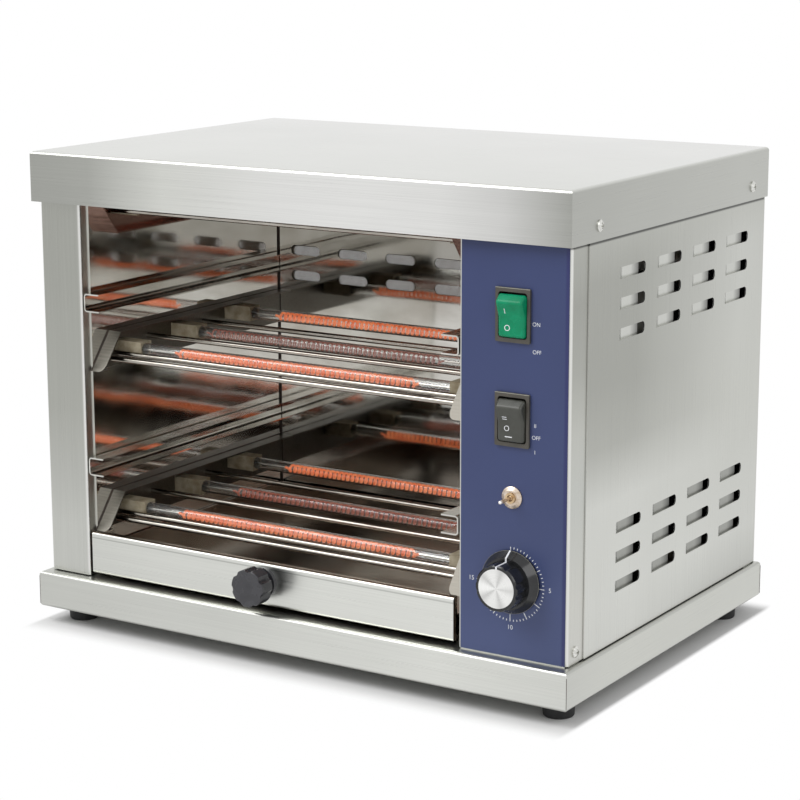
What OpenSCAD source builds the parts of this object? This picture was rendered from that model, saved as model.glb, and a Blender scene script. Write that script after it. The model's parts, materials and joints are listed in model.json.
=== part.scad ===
// Two-deck bar toaster with quartz heating tubes and a crumb tray.
// The front faces -Y, +X is to the right, +Z is up, and all sizes are in millimetres.

/* [Body] */
// Width of the body between its side faces
body_w = 422; // [390:1:500]
// Depth of the body from its front face to its back face
body_d = 284.5; // [270:0.5:340]
// Height of the body from the plinth to the underside of the lid
body_h = 302; // [298:1:330]
// Thickness of the steel sheet
sheet = 1; // [0.8:0.1:1.4]
// Outside radius of the bends in the sheet
bend_r = 2.5; // [1.8:0.1:3.5]

/* [Lid] */
// Height of the lid from its top face to the edge of its skirt
lid_h = 35; // [30:0.5:45]
// Reach of the lid past each side of the body
lid_side_reach = 2.5; // [2.3:0.1:8]
// Reach of the lid past the front of the body
lid_front_reach = 6; // [3:0.5:12]
// Reach of the lid past the back of the body
lid_back_reach = 1.5; // [1.5:0.5:8]
// Height of the lid's screws above the edge of its skirt
lid_screw_h = 9.6; // [7:0.1:14]
// Distance of the front lid screws from the lid's front edge
lid_screw_front = 36; // [25:1:60]
// Distance of the back lid screws from the lid's back edge
lid_screw_back = 27; // [20:1:60]

/* [Plinth and feet] */
// Height of the plinth
base_h = 26; // [20:0.5:40]
// Reach of the plinth past each side of the body
base_side_reach = 4.5; // [3:0.5:10]
// Reach of the plinth past the front of the body
base_front_reach = 9; // [4:0.5:15]
// Reach of the plinth past the back of the body
base_back_reach = 4.5; // [2:0.5:10]
// Width of the flange folded in under the plinth
base_flange = 38; // [36:0.5:50]
// Height of the rubber feet
foot_h = 12; // [8:0.5:20]
// Largest diameter of the rubber feet
foot_d = 22; // [18:0.5:28]
// Distance of a foot's centre from the side of the plinth
foot_side_inset = 19; // [16:0.5:21]
// Distance of a foot's centre from the front or back of the plinth
foot_end_inset = 25.5; // [16:0.5:26]
// Depth of the recess for the screw head in a foot
foot_recess = 5; // [3:0.5:6]

/* [Front] */
// Gap between the covers and the plinth
seam = 0.8; // [0.4:0.1:0.9]
// Width of the left front pillar
pillar_w = 35; // [28:0.5:50]
// Width of the control panel
panel_w = 80; // [70:0.5:110]
// Depth of the pillar's and panel's return beside the opening
return_d = 20; // [15:0.5:30]
// Visible depth of the panel's strip on the right side
strip_d = 20.5; // [18:0.5:35]
// Lap of the right cover over the panel's strip
strip_lap = 5; // [4:0.5:12]
// Thickness of the coloured fascia
fascia_t = 0.5; // [0.3:0.1:1]
// Steel margin left bare at the sides of the fascia
fascia_margin = 0.6; // [0.5:0.1:4]
// Distance of the controls' centre line from the panel's left edge
controls_x = 39.5; // [34:0.5:44]

/* [Chamber] */
// Depth of the chamber from the body's front to the back wall
chamber_d = 237; // [225:1:240]
// Height of the chamber from the plinth to the ceiling
chamber_h = 274; // [273:1:285]
// Distance from the front to the edge of the polished side walls
wall_setback = 9; // [6:0.5:18]
// Length of the slots in the back wall
slot_l = 27; // [15:0.5:35]
// Height of the slots in the back wall
slot_h = 7.5; // [4:0.5:10]
// Spacing of the slots across the width
slot_pitch_x = 43.6; // [40:0.1:46]
// Spacing of the slot rows
slot_pitch_z = 20; // [14:0.5:24]
// Height of the upper slot row above the plinth
slot_top_h = 207; // [190:1:215]
// Height of the uppermost slot row of the rear panel above the plinth
rear_slot_top_h = 218; // [190:1:230]

/* [Heating elements] */
// Height of the bottom set's front tube above the plinth
bottom_set_h = 45.5; // [45:0.5:50]
// Height of the middle set's front tube above the plinth
middle_set_h = 162; // [158:0.5:166]
// Height of the top set's brackets above the plinth, from their middle
top_set_h = 258; // [250:0.5:259]
// Distance of the front tubes from the body's front
front_tube_y = 38; // [37:0.5:44]
// Spacing of the tubes from front to back
tube_pitch = 66; // [60:0.5:80]
// Rise of the middle tube over the front tube in the two lower sets
middle_tube_rise = 2; // [0:0.5:6]
// Rise of the back tube over the front tube in the two lower sets
back_tube_rise = 6; // [0:0.5:6]
// Rise of the top set's tubes over the middle of their brackets
top_tube_rise = 5.5; // [0:0.5:6]
// Outside diameter of a quartz tube
tube_d = 9; // [8.8:0.1:9.6]
// Wall of a quartz tube
tube_wall = 0.8; // [0.6:0.1:0.9]
// Outside diameter of a heating coil
coil_d = 6.8; // [5:0.1:6.8]
// Length of a heating coil
coil_l = 192; // [150:1:205]
// Diameter of the heating wire
wire_d = 1.1; // [0.8:0.1:1.3]
// Number of curls in a heating coil
coil_curls = 8; // [6:1:9]
// Width of an element bracket from the wall
bracket_w = 11.5; // [10:0.5:14]
// Height of an element bracket
bracket_h = 26; // [26:0.5:28]
// Distance of a bracket's front tip from the body's front
bracket_setback = 6.5; // [4:0.5:10]
// Slant of a bracket's front flange from tip to bend
bracket_slant = 20.5; // [14:0.5:24]
// Depth of the fold at the tip of a bracket
bracket_hem = 8; // [8:0.5:10]
// Radius at the free corner of a bracket's front flange
bracket_corner = 5; // [2:0.5:6]
// Length of a ceramic end
ceramic_l = 24; // [18:0.5:28]
// Width of a ceramic end from front to back
ceramic_w = 12; // [11:0.5:12.5]
// Height of a ceramic end
ceramic_h = 11; // [10.5:0.5:11.5]
// Depth of the tube's seat in a ceramic end
ceramic_seat = 8; // [5:0.5:10]
// Diameter of the spigot behind a ceramic end
spigot_d = 8; // [6:0.5:9]
// Diameter of the guard rods
rod_d = 3.8; // [3:0.1:4.2]
// Rise of the rods between the tubes over the front tube
rod_rise = 2.7; // [0:0.1:4]
// Distance of the front rod ahead of the front tube
front_rod_ahead = 8.5; // [8.5:0.1:9.5]
// Drop of the front rod below the front tube
front_rod_drop = 3.2; // [0:0.1:4]
// Distance of the foremost rod ahead of the front tube
first_rod_ahead = 14; // [13.8:0.1:16]
// Drop of the foremost rod below the front tube
first_rod_drop = 6.4; // [4:0.1:7]

/* [Rack guides] */
// Height of the lower rack guides above the plinth
lower_guide_h = 81; // [75:0.5:110]
// Height of the upper rack guides above the plinth
upper_guide_h = 198.5; // [190:0.5:215]
// Width of a guide from the wall
guide_w = 13; // [9:0.5:16]
// Height of a guide
guide_h = 13; // [10:0.5:16]
// Distance of the guides' ends from the body's front
guide_setback = 1.5; // [1:0.5:24]

/* [Crumb tray] */
// Height of the tray's front
tray_h = 30.5; // [24:0.5:31]
// Height of the tray over the plinth
tray_lift = 2.5; // [2:0.1:4]
// Gap at the left of the tray
tray_left_gap = 1.3; // [1:0.1:4]
// Gap at the right of the tray
tray_right_gap = 3.2; // [1:0.1:4]
// Setback of the tray's front from the body's front
tray_setback = 1; // [0:0.1:4]
// Depth of the lip folded back along the top of the tray's front
tray_lip = 5; // [4:0.5:5.5]
// Height of the tray's side and back walls
tray_wall_h = 18; // [10:0.5:20]
// Gap between the tray and the back wall
tray_end_gap = 3; // [1:0.5:8]
// Diameter of the tray's knob
tray_knob_d = 26; // [20:0.5:28]
// Length of the tray's knob from the tray's front
tray_knob_l = 20; // [16:0.5:30]
// Number of scallops round the tray's knob
knob_lobes = 7; // [5:1:9]
// Height of the knob above the middle of the tray's front
tray_knob_rise = 2; // [0:0.5:3]
// Width of a runner under the tray
runner_w = 12; // [8:0.5:18]

/* [Switches] */
// Height of the main switch above the plinth
main_switch_h = 222.4; // [215:0.1:235]
// Height of the deck switch above the plinth
deck_switch_h = 156.1; // [150:0.1:170]
// Width of a switch bezel
bezel_w = 24.6; // [24:0.1:28]
// Height of a switch bezel
bezel_h = 34.3; // [34:0.1:38]
// Thickness of a switch bezel
bezel_t = 1.8; // [1:0.1:3]
// Width of a switch housing behind the panel
housing_w = 23; // [23:0.1:23.5]
// Height of a switch housing behind the panel
housing_h = 31.4; // [31:0.1:33]
// Depth of a switch housing behind the panel's face
housing_d = 28; // [22:0.5:35]
// Width of a rocker
rocker_w = 20; // [18:0.1:20]
// Radius of a rocker's ends about its pivot
rocker_r = 14.2; // [13:0.1:14.4]
// Reach of a rocker's ridges from its pivot
rocker_tip = 7.5; // [5.5:0.1:8]
// Reach of a rocker's waist from its pivot
rocker_waist = 5.4; // [3:0.1:7]
// Depth of a rocker's pivot behind the panel's face
rocker_pivot = 1.5; // [1:0.1:3]
// Tilt of a rocker with its lower end pressed
rocker_tilt = 11; // [8:0.5:12]

/* [Toggle and timer] */
// Height of the toggle above the plinth
toggle_h = 106; // [98:0.5:112]
// Diameter of the toggle's bush
toggle_bush_d = 7; // [6.8:0.1:9]
// Reach of the toggle's bush from the panel's face
toggle_bush_l = 3.4; // [3:0.1:5]
// Diameter of the toggle's round nut
toggle_nut_d = 14.4; // [13:0.1:17]
// Thickness of the toggle's nut
toggle_nut_t = 2.4; // [1.5:0.1:3]
// Reach of the toggle's lever from the panel's face
toggle_reach = 16.5; // [12:0.5:20]
// Diameter of the toggle's lever at its tip
toggle_tip_d = 2.4; // [2:0.1:4]
// Height of the timer's shaft above the plinth
timer_h = 51; // [46:0.5:60]
// Diameter of the timer knob's skirt
knob_skirt_d = 41.5; // [38:0.5:48]
// Diameter of the timer knob's grip
knob_grip_d = 31; // [29:0.5:36]
// Reach of the timer knob from the panel's face
knob_reach = 20; // [17:0.5:26]
// Diameter of the knob's metal cap
knob_cap_d = 25.5; // [22:0.5:27]
// Number of flutes round the knob's grip
knob_flutes = 14; // [10:1:18]
// Diameter of the timer's shaft
shaft_d = 6; // [5:0.1:7]
// Side of the timer's square case
timer_case_w = 46; // [40:0.5:52]
// Depth of the timer's case
timer_case_d = 30; // [24:0.5:40]

/* [Side vents] */
// Length of a vent pressed into the right cover
vent_l = 35.5; // [24:0.5:40]
// Height of a vent
vent_h = 7.5; // [5:0.5:10]
// Depth to which a vent's tongue is pressed in
vent_depth = 2; // [1.5:0.1:4]
// Length of the open end of a vent
vent_mouth = 6.5; // [4:0.5:10]
// Length of the slope at the closed end of a vent
vent_ramp = 6; // [3:0.5:10]
// Corner radius at the open end of a vent
vent_corner = 3.2; // [1:0.1:3.5]
// Spacing of the vents along the side
vent_pitch_y = 53; // [44:0.5:55]
// Spacing of the vent rows
vent_pitch_z = 19.7; // [14:0.1:24]
// Distance of the first vent's centre from the body's front
vent_first_y = 80; // [70:0.5:90]
// Height of the upper group's top row above the plinth
vent_upper_h = 243.5; // [225:0.5:250]
// Height of the lower group's top row above the plinth
vent_lower_h = 77.3; // [70:0.1:100]

/* [Fasteners and inlet] */
// Diameter of the case screws
screw_d = 4; // [3:0.1:4.5]
// Diameter of the pan heads
head_d = 7.6; // [7:0.1:9]
// Height of the pan heads
head_h = 2.4; // [2:0.1:3]
// Clearance round a screw in its hole
screw_gap = 0.2; // [0.1:0.05:0.4]
// Diameter of the cable gland's thread
gland_d = 16; // [14:0.5:20]
// Reach of the cable gland behind the body
gland_l = 18; // [14:0.5:25]
// Bore of the cable gland
gland_bore_d = 9; // [7:0.5:11]
// Height of the cable gland above the plinth
gland_h = 32; // [20:0.5:60]

/* [Hidden] */
$fn = 48;
// Gap between a piece that slides or turns and what guides it
run_gap = 0.3;
// Radial gap of a shaft in its bore
shaft_gap = 0.05;
// Gap between fixed pieces that slip into each other
slip_gap = 0.1;
// Margin by which a cutting shape passes a face
over = 1;

// Planes of the case
x_side = body_w / 2;
y_front = -body_d / 2;
y_back = body_d / 2;
z_plinth = foot_h + base_h;
z_top = z_plinth + body_h;
z_lid = z_top + sheet;
z_skirt = z_lid - lid_h;
x_base = x_side + base_side_reach;
y_base_front = y_front - base_front_reach;
y_base_back = y_back + base_back_reach;
base_d = y_base_back - y_base_front;
x_lid = x_side + lid_side_reach;
y_lid_front = y_front - lid_front_reach;
y_lid_back = y_back + lid_back_reach;
x_cover = x_side + sheet;
z_cover = z_plinth + seam;
cover_h = body_h - bend_r - seam;

// Taper and edge of the feet
foot_taper = 0.8;
foot_edge = 0.7;

// Planes of the chamber
x_left = -x_side + pillar_w + sheet;
x_right = x_side - panel_w - sheet;
x_chamber = (x_left + x_right) / 2;
y_wall = y_front + chamber_d;
z_ceiling = z_plinth + chamber_h;

// Centre line of the controls
x_controls = x_side - panel_w + controls_x;
y_panel = y_front + fascia_t;
y_panel_back = y_panel + sheet;

// Heating elements: set heights, tube places and the ends of their seats
set_z = [z_plinth + bottom_set_h, z_plinth + middle_set_h, z_plinth + top_set_h];
set_flip = [1, 1, -1];
tube_y = [for (i = [0 : 2]) y_front + front_tube_y + i * tube_pitch];
tube_rise = [0, middle_tube_rise, back_tube_rise];
function tube_lift(set, i) = set_flip[set] > 0 ? tube_rise[i] : top_tube_rise;
rod_places = [
    [tube_y[0] - first_rod_ahead, -first_rod_drop],
    [tube_y[0] - front_rod_ahead, -front_rod_drop],
    [(tube_y[0] + tube_y[1]) / 2, rod_rise],
    [(tube_y[1] + tube_y[2]) / 2, rod_rise]
];
x_seat = sheet + ceramic_l - ceramic_seat;
spigot_proud = 3;
stud_d = 3.2;
stud_l = 4;

// Bracket outline: front tip, bend and the run of the slanted flange
y_tip = y_front + bracket_setback;
y_bend = y_tip + bracket_slant;
slant_run = sheet * sqrt(1 + pow(bracket_slant / bracket_h, 2));

// Crumb tray
x_tray_left = x_left + tray_left_gap;
x_tray_right = x_right - tray_right_gap;
x_tray = (x_tray_left + x_tray_right) / 2;
tray_w = x_tray_right - x_tray_left;
z_tray = z_plinth + tray_lift;
y_tray = y_front + tray_setback;
y_tray_end = y_wall - tray_end_gap;
z_tray_knob = z_tray + tray_h / 2 + tray_knob_rise;
knob_stud_d = 5;
knob_stud_l = 8;
knob_stem_d = 12;
knob_head_l = 12;
knob_nut_t = 4;
knob_nut_d = 9.2;
knob_lobe_d = 8;
knob_lobe_depth = 1.3;
knob_turn = 85;
knob_collar_d = 21;
knob_collar_t = 3;
knob_bevel = 1.5;
knob_rim_r = tray_knob_d / 2 + over;

// Rocker wells and pivots
well_w = rocker_w + 2 * run_gap;
well_h = 2 * (rocker_r + run_gap);
well_d = 10;
rocker_back = 4;
rocker_back_h = 20;
spade = [6.3, 8, 0.8];
bezel_corner = 0.8;
rocker_ridge = 10.5;
rocker_edge = 1;
rocker_corner = 2.5;
well_corner = 2;
pivot_d = 3;
pivot_l = (housing_w - rocker_w) / 2 - slip_gap;

// Toggle
toggle_pivot = 1.5;
toggle_ball_d = 4;
toggle_root_d = 2;
toggle_well_d = 8;
toggle_pin_d = 1.4;
toggle_pin_l = 5.6;
toggle_rim_t = 1;
toggle_crown_d = 10;
toggle_case = [14, 18, 26];

// Timer knob along its axis, measured out from the panel's face
knob_gap = 1;
knob_rim_t = 1.2;
knob_cone_l = 5.5;
knob_cap_t = 1;
knob_ledge = 1.5;
knob_draft = 0.4;
knob_edge = 0.8;
knob_bore_l = 12;
timer_bush_d = 9;
timer_bush_l = 3;
flute_d = 6.4;
flute_depth = 1.1;
shaft_in = 18;

// Right cover and rear panel
header_setback = 3;
rear_flange = 15;
rear_screw_low = 30;
rear_screw_middle = 150;
rear_screw_high = 262;
rear_screw_inset = 8;
rear_slot_rows = 4;
rear_slot_shift = -30;
slot_rows = 2;
slot_offset = 3.8;
slot_cols = floor((x_right - x_left - 2 * slot_offset - slot_l) / slot_pitch_x) + 1;
vent_cols = 4;
vent_rows = 3;
boss_d = 9;
tab_w = 14;
tab_h = 16;
tab_screw_h = 8.5;

// Screw heads, their cross recesses and nuts
head_crown_r = 0.7 * head_d;
cross_l = 4;
cross_w = 1;
cross_depth = 1.2;
nut_d = 2 * screw_d;
nut_t = 3.2;
thread_out = 2;

// Inlet and wiring in the control space
gland_shoulder = 4;
gland_hex_d = gland_d + 2 * gland_shoulder;
gland_hex_t = 5;
gland_dome_d = gland_d + gland_shoulder;
gland_tip_d = gland_d - 2;
gland_nut_t = 4;
gland_thread_l = 10;
block_size = [42, 20, 18];
block_back = 45;
block_poles = 3;
block_bore_d = 5;
loom_d = 8;
loom_r = 30;
loom_arc_steps = 6;
loom_sides = 8;

// Shift that puts the middle of the whole depth at the origin
front_reach = max(knob_reach - y_front, tray_knob_l - y_tray);
back_reach = y_back + gland_l;
frame_shift = (front_reach - back_reach) / 2;

SETS = ["bottom", "middle", "top"];

// Colours
steel = "#C4C5C0";
bright_steel = "#DADAD6";
blue = "#404A7C";
black = "#1C1C1E";
quartz = "#DDE3E6";
glow = "#F0663C";
ceramic = "#D9CDB4";
brass = "#C9A86A";
green = "#0E9A62";

// Flat outline in YZ, pushed along X from x0
module along_x(x0, length) {
    translate([x0, 0, 0]) rotate([90, 0, 90]) linear_extrude(length) children();
}

// Flat outline in XZ, pushed along Y from y0
module along_y(y0, length) {
    translate([0, y0 + length, 0]) rotate([90, 0, 0]) linear_extrude(length) children();
}

// Round bar along X from x0
module bar_x(x0, length, d) {
    translate([x0, 0, 0]) rotate([0, 90, 0]) cylinder(h = length, d = d);
}

// Round bar along Y from y0
module bar_y(y0, length, d) {
    translate([0, y0, 0]) rotate([-90, 0, 0]) cylinder(h = length, d = d);
}

// Rectangle between two corners with round corners
module round_rect(low, high, r) {
    translate([low[0] + r, low[1]]) square([high[0] - low[0] - 2 * r, high[1] - low[1]]);
    translate([low[0], low[1] + r]) square([high[0] - low[0], high[1] - low[1] - 2 * r]);
    for (x = [low[0] + r, high[0] - r], y = [low[1] + r, high[1] - r]) translate([x, y]) circle(r);
}

// Wall of one sheet round a rectangle with bent corners
module sheet_ring(low, high) {
    difference() {
        round_rect(low, high, bend_r);
        round_rect([low[0] + sheet, low[1] + sheet], [high[0] - sheet, high[1] - sheet], bend_r - sheet);
    }
}

// Box whose edges along X and Y are bent round, with plain upright corners
module bent_box(low, high, r) {
    intersection() {
        along_y(low[1], high[1] - low[1]) round_rect([low[0], low[2]], [high[0], high[2]], r);
        along_x(low[0], high[0] - low[0]) round_rect([low[1], low[2]], [high[1], high[2]], r);
    }
}

// Slot with round ends in XZ, centred
module slot_outline(length, height) {
    square([length - height, height], center = true);
    for (side = [-1, 1]) translate([side * (length - height) / 2, 0]) circle(d = height);
}

// Mirrors its children to the right side of the chamber
module chamber_side(side) {
    if (side < 0) translate([x_left, 0, 0]) children();
    else translate([x_right, 0, 0]) mirror([1, 0, 0]) children();
}

// Pan head screw with its seat at the origin, its head towards +Z
module pan_screw(length) {
    difference() {
        union() {
            intersection() {
                cylinder(h = head_h, d = head_d);
                translate([0, 0, head_h - head_crown_r]) sphere(head_crown_r);
            }
            translate([0, 0, -length]) cylinder(h = length + over / 2, d = screw_d);
        }
        for (turn = [0, 90]) rotate(turn) translate([0, 0, head_h])
            cube([cross_l, cross_w, 2 * cross_depth], center = true);
    }
}

// Puts a screw hole or screw, made along Z, at each lid screw
module at_lid_screws(sides) {
    for (side = sides, y = [y_lid_front + lid_screw_front, y_lid_back - lid_screw_back])
        translate([side * x_lid, y, z_skirt + lid_screw_h]) rotate([0, side * 90, 0]) children();
}

// Puts a screw hole or screw, made along Z, at each front tab screw
module at_tab_screws(sides) {
    for (side = sides)
        translate([side * x_side, y_front + strip_d / 2, z_plinth + tab_screw_h]) rotate([0, side * 90, 0])
            children();
}

// Puts a screw hole or screw, made along Z, at each rear panel screw
module at_rear_screws(sides) {
    for (side = sides, h = [rear_screw_low, rear_screw_middle, rear_screw_high])
        translate([side * (x_side - rear_screw_inset), y_back, z_plinth + h]) rotate([-90, 0, 0]) children();
}

// Puts its children at each foot
module at_foot(side, end) {
    x = side * (x_base - foot_side_inset);
    y = end < 0 ? y_base_front + foot_end_inset : y_base_back - foot_end_inset;
    translate([x, y, 0]) children();
}

module screw_hole(length) {
    translate([0, 0, -length]) cylinder(h = 2 * length, d = screw_d + 2 * screw_gap);
}

// Plinth: folded tray with a flange turned in underneath and two upright tabs behind the front
module base_tray() color(steel) difference() {
    union() {
        difference() {
            bent_box([-x_base, y_base_front, foot_h], [x_base, y_base_back, z_plinth], bend_r);
            bent_box(
                [-x_base + sheet, y_base_front + sheet, foot_h + sheet],
                [x_base - sheet, y_base_back - sheet, z_plinth - sheet], bend_r - sheet);
            translate([-x_base + base_flange, y_base_front + base_flange, foot_h - over])
                cube([2 * (x_base - base_flange), base_d - 2 * base_flange, sheet + 2 * over]);
        }
        for (side = [-1, 1])
            translate([side * (x_side - 1.5 * sheet), y_front + strip_d / 2, z_plinth + tab_h / 2])
                cube([sheet, tab_w, tab_h + sheet], center = true);
    }
    at_tab_screws([-1, 1]) screw_hole(3 * sheet + over);
    for (side = [-1, 1], end = [-1, 1]) at_foot(side, end)
        translate([0, 0, foot_h - over]) cylinder(h = sheet + 2 * over, d = screw_d + 2 * screw_gap);
}

// Lid: shallow tray turned over the top of the body
module lid() color(bright_steel) difference() {
    low_z = z_skirt - 2 * bend_r;
    bent_box([-x_lid, y_lid_front, low_z], [x_lid, y_lid_back, z_lid], bend_r);
    bent_box(
        [-x_lid + sheet, y_lid_front + sheet, low_z - over],
        [x_lid - sheet, y_lid_back - sheet, z_lid - sheet], bend_r - sheet);
    translate([-x_lid - over, y_lid_front - over, low_z - over])
        cube([2 * (x_lid + over), y_lid_back - y_lid_front + 2 * over, z_skirt - low_z + over]);
    at_lid_screws([-1, 1]) screw_hole(2 * sheet);
}

// Spacer bosses that carry the lid's screws between a side cover and the skirt
module lid_bosses(side, x_face) {
    for (y = [y_lid_front + lid_screw_front, y_lid_back - lid_screw_back])
        translate([side * x_face, y, z_skirt + lid_screw_h]) rotate([0, side * 90, 0])
            cylinder(h = x_lid - sheet - x_face, d = boss_d);
}

// Left side, front pillar and their folded edges in one sheet
module left_cover() color(steel) difference() {
    union() {
        translate([0, 0, z_cover]) linear_extrude(cover_h) difference() {
            x_return = -x_side + pillar_w;
            sheet_ring([-x_side, y_front], [x_return, y_back - sheet]);
            translate([-x_side + rear_flange, y_front + return_d])
                square([pillar_w, body_d]);
        }
        lid_bosses(-1, x_side);
    }
    at_lid_screws([-1]) screw_hole(lid_side_reach + 3 * sheet);
    at_tab_screws([-1]) screw_hole(2 * sheet);
    at_rear_screws([-1]) screw_hole(3 * sheet);
}

// One pressed vent: the sheet is cut with a round open end, and a sunk tongue runs up to it
module vent_cut() {
    half = [vent_l / 2, vent_h / 2];
    along_x(-2 * sheet, 3 * sheet) {
        round_rect([-half[0] + vent_corner, -half[1]], [half[0], half[1]], vent_corner);
        translate(-half) square([vent_l / 2, vent_h]);
    }
}

module vent_tongue() {
    y0 = -vent_l / 2;
    y_flat = y0 + vent_ramp;
    y1 = vent_l / 2 - vent_mouth;
    deep = -vent_depth - sheet;
    translate([0, 0, -vent_h / 2]) linear_extrude(vent_h) polygon([
        [0, y0], [-vent_depth, y_flat], [-vent_depth, y1], [deep, y1], [deep, y_flat], [-sheet, y0]
    ]);
    for (z = [-vent_h / 2 - sheet, vent_h / 2]) translate([0, 0, z]) linear_extrude(sheet)
        polygon([[0, y0], [0, y1], [deep, y1], [deep, y_flat], [-sheet, y0]]);
}

module at_vents() {
    for (top = [vent_upper_h, vent_lower_h], row = [0 : vent_rows - 1], col = [0 : vent_cols - 1])
        translate([
            x_cover, y_front + vent_first_y + col * vent_pitch_y, z_plinth + top - row * vent_pitch_z
        ]) children();
}

// Right side cover with pressed vents, lapped over the panel's strip
module right_cover() color(steel) difference() {
    union() {
        difference() {
            translate([x_side, y_front + strip_d, z_cover]) cube([sheet, body_d - strip_d - sheet, cover_h]);
            at_vents() vent_cut();
        }
        at_vents() vent_tongue();
        lid_bosses(1, x_cover);
    }
    at_lid_screws([1]) screw_hole(lid_side_reach + 3 * sheet);
}

// Angle in the right rear corner that joins the right cover to the rear panel
module rear_angle() color(steel) difference() {
    corner = [x_side, y_back - sheet];
    translate([0, 0, z_plinth]) linear_extrude(body_h - bend_r) intersection() {
        sheet_ring([corner[0] - 2 * rear_flange, corner[1] - 2 * rear_flange], corner);
        translate([corner[0] - rear_flange, corner[1] - rear_flange]) square(2 * rear_flange);
    }
    at_rear_screws([1]) screw_hole(3 * sheet);
}

// Rear panel with rows of slots over the hot space and a hole for the cable gland
module rear_panel() color(steel) difference() {
    translate([-x_side, y_back - sheet, z_plinth]) cube([x_side + x_cover, sheet, body_h - bend_r]);
    at_rear_screws([-1, 1]) screw_hole(2 * sheet);
    for (col = [0 : slot_cols - 1], row = [0 : rear_slot_rows - 1])
        translate([
            x_chamber + slot_offset + rear_slot_shift + (col - (slot_cols - 1) / 2) * slot_pitch_x, 0,
            z_plinth + rear_slot_top_h - row * slot_pitch_z
        ]) along_y(y_back - 2 * sheet, 3 * sheet) slot_outline(slot_l, slot_h);
    translate([x_controls, 0, z_plinth + gland_h])
        bar_y(y_back - 2 * sheet, 3 * sheet, gland_d + 2 * slip_gap);
}

// Places a switch outline on the panel
module at_switches() {
    for (h = [main_switch_h, deck_switch_h]) translate([x_controls, 0, z_plinth + h]) children();
}

// Openings of the controls through the panel and its fascia
module panel_openings() {
    depth = fascia_t + sheet + 2 * over;
    cut_w = housing_w + 2 * slip_gap;
    cut_h = housing_h + 2 * slip_gap;
    at_switches() translate([-cut_w / 2, y_front - over, -cut_h / 2]) cube([cut_w, depth, cut_h]);
    translate([x_controls, 0, z_plinth + toggle_h])
        bar_y(y_front - over, depth, toggle_bush_d + 2 * slip_gap);
    translate([x_controls, 0, z_plinth + timer_h])
        bar_y(y_front - over, depth, timer_bush_d + 2 * slip_gap);
}

// Control front with its return beside the opening and its strip on the right side
module control_panel() color(bright_steel) difference() {
    x_edge = x_side - panel_w;
    translate([0, 0, z_cover]) linear_extrude(cover_h) difference() {
        sheet_ring([x_edge, y_panel], [x_side, y_back]);
        translate([x_edge - over, y_front + return_d]) square([panel_w / 2 + over, body_d]);
        translate([x_edge + panel_w / 2, y_front + strip_d + strip_lap]) square([panel_w, body_d]);
    }
    panel_openings();
    at_tab_screws([1]) screw_hole(2 * sheet);
    at_lid_screws([1]) screw_hole(lid_side_reach + 3 * sheet);
}

// Coloured fascia on the control front
module control_fascia() color(blue) difference() {
    low_x = x_side - panel_w + fascia_margin + bend_r / 2;
    high_x = x_side - fascia_margin - bend_r / 2;
    translate([low_x, y_front, z_cover]) cube([high_x - low_x, fascia_t, cover_h]);
    panel_openings();
}

// Polished side wall of the chamber with holes for the spigots of the ceramic ends
module side_wall(side) color(bright_steel) chamber_side(side) difference() {
    translate([-sheet, y_front + wall_setback, z_plinth])
        cube([sheet, chamber_d - wall_setback, chamber_h]);
    for (set = [0 : 2]) translate([0, 0, set_z[set]]) spigot_holes(set, 1);
}

// Holes for a set's spigots through a bracket's web and the wall behind it
module spigot_holes(set, up) {
    for (i = [0 : 2]) translate([0, tube_y[i], up * tube_lift(set, i)])
        bar_x(-sheet - over, 2 * (sheet + over), spigot_d + 2 * slip_gap);
}

// Polished back wall with slots over the upper deck
module back_wall() color(bright_steel) difference() {
    translate([x_left - sheet, y_wall, z_plinth])
        cube([x_right - x_left + 2 * sheet, sheet, chamber_h]);
    for (col = [0 : slot_cols - 1], row = [0 : slot_rows - 1])
        translate([
            x_chamber + slot_offset + (col - (slot_cols - 1) / 2) * slot_pitch_x, 0,
            z_plinth + slot_top_h - row * slot_pitch_z
        ]) along_y(y_wall - over, sheet + 2 * over) slot_outline(slot_l, slot_h);
}

// Ceiling with a header turned up behind the lid's skirt
module ceiling() color(bright_steel) {
    header_y = y_front + header_setback;
    width = x_right - x_left + 2 * sheet;
    translate([x_left - sheet, header_y, z_ceiling]) cube([width, y_wall + sheet - header_y, sheet]);
    translate([x_left - sheet, header_y, z_ceiling]) cube([width, sheet, z_top - z_ceiling]);
}

// Rubber foot with a recess for its screw
module foot(side, end) color(black) at_foot(side, end) difference() {
    rotate_extrude() polygon([
        [0, 0], [foot_d / 2 - foot_taper - foot_edge, 0], [foot_d / 2 - foot_taper, foot_edge],
        [foot_d / 2, foot_h], [0, foot_h]
    ]);
    translate([0, 0, -over]) cylinder(h = foot_recess + over, d = head_d + 2 * screw_gap);
    translate([0, 0, -over]) cylinder(h = foot_h + 2 * over, d = screw_d + 2 * screw_gap);
}

// Screws that hold the feet, each with its nut on the plinth's flange
module foot_screws() color(steel) for (side = [-1, 1], end = [-1, 1]) at_foot(side, end) {
    translate([0, 0, foot_recess]) rotate([180, 0, 0])
        pan_screw(foot_h - foot_recess + sheet + nut_t + thread_out);
    translate([0, 0, foot_h + sheet]) cylinder(h = nut_t, d = nut_d, $fn = 6);
}

module lid_screws() color(bright_steel)
    at_lid_screws([-1, 1]) pan_screw(lid_side_reach + sheet + thread_out);

module case_screws() color(bright_steel) {
    at_tab_screws([-1, 1]) pan_screw(2 * sheet + thread_out);
    at_rear_screws([-1, 1]) pan_screw(2 * sheet + thread_out);
}

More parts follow.
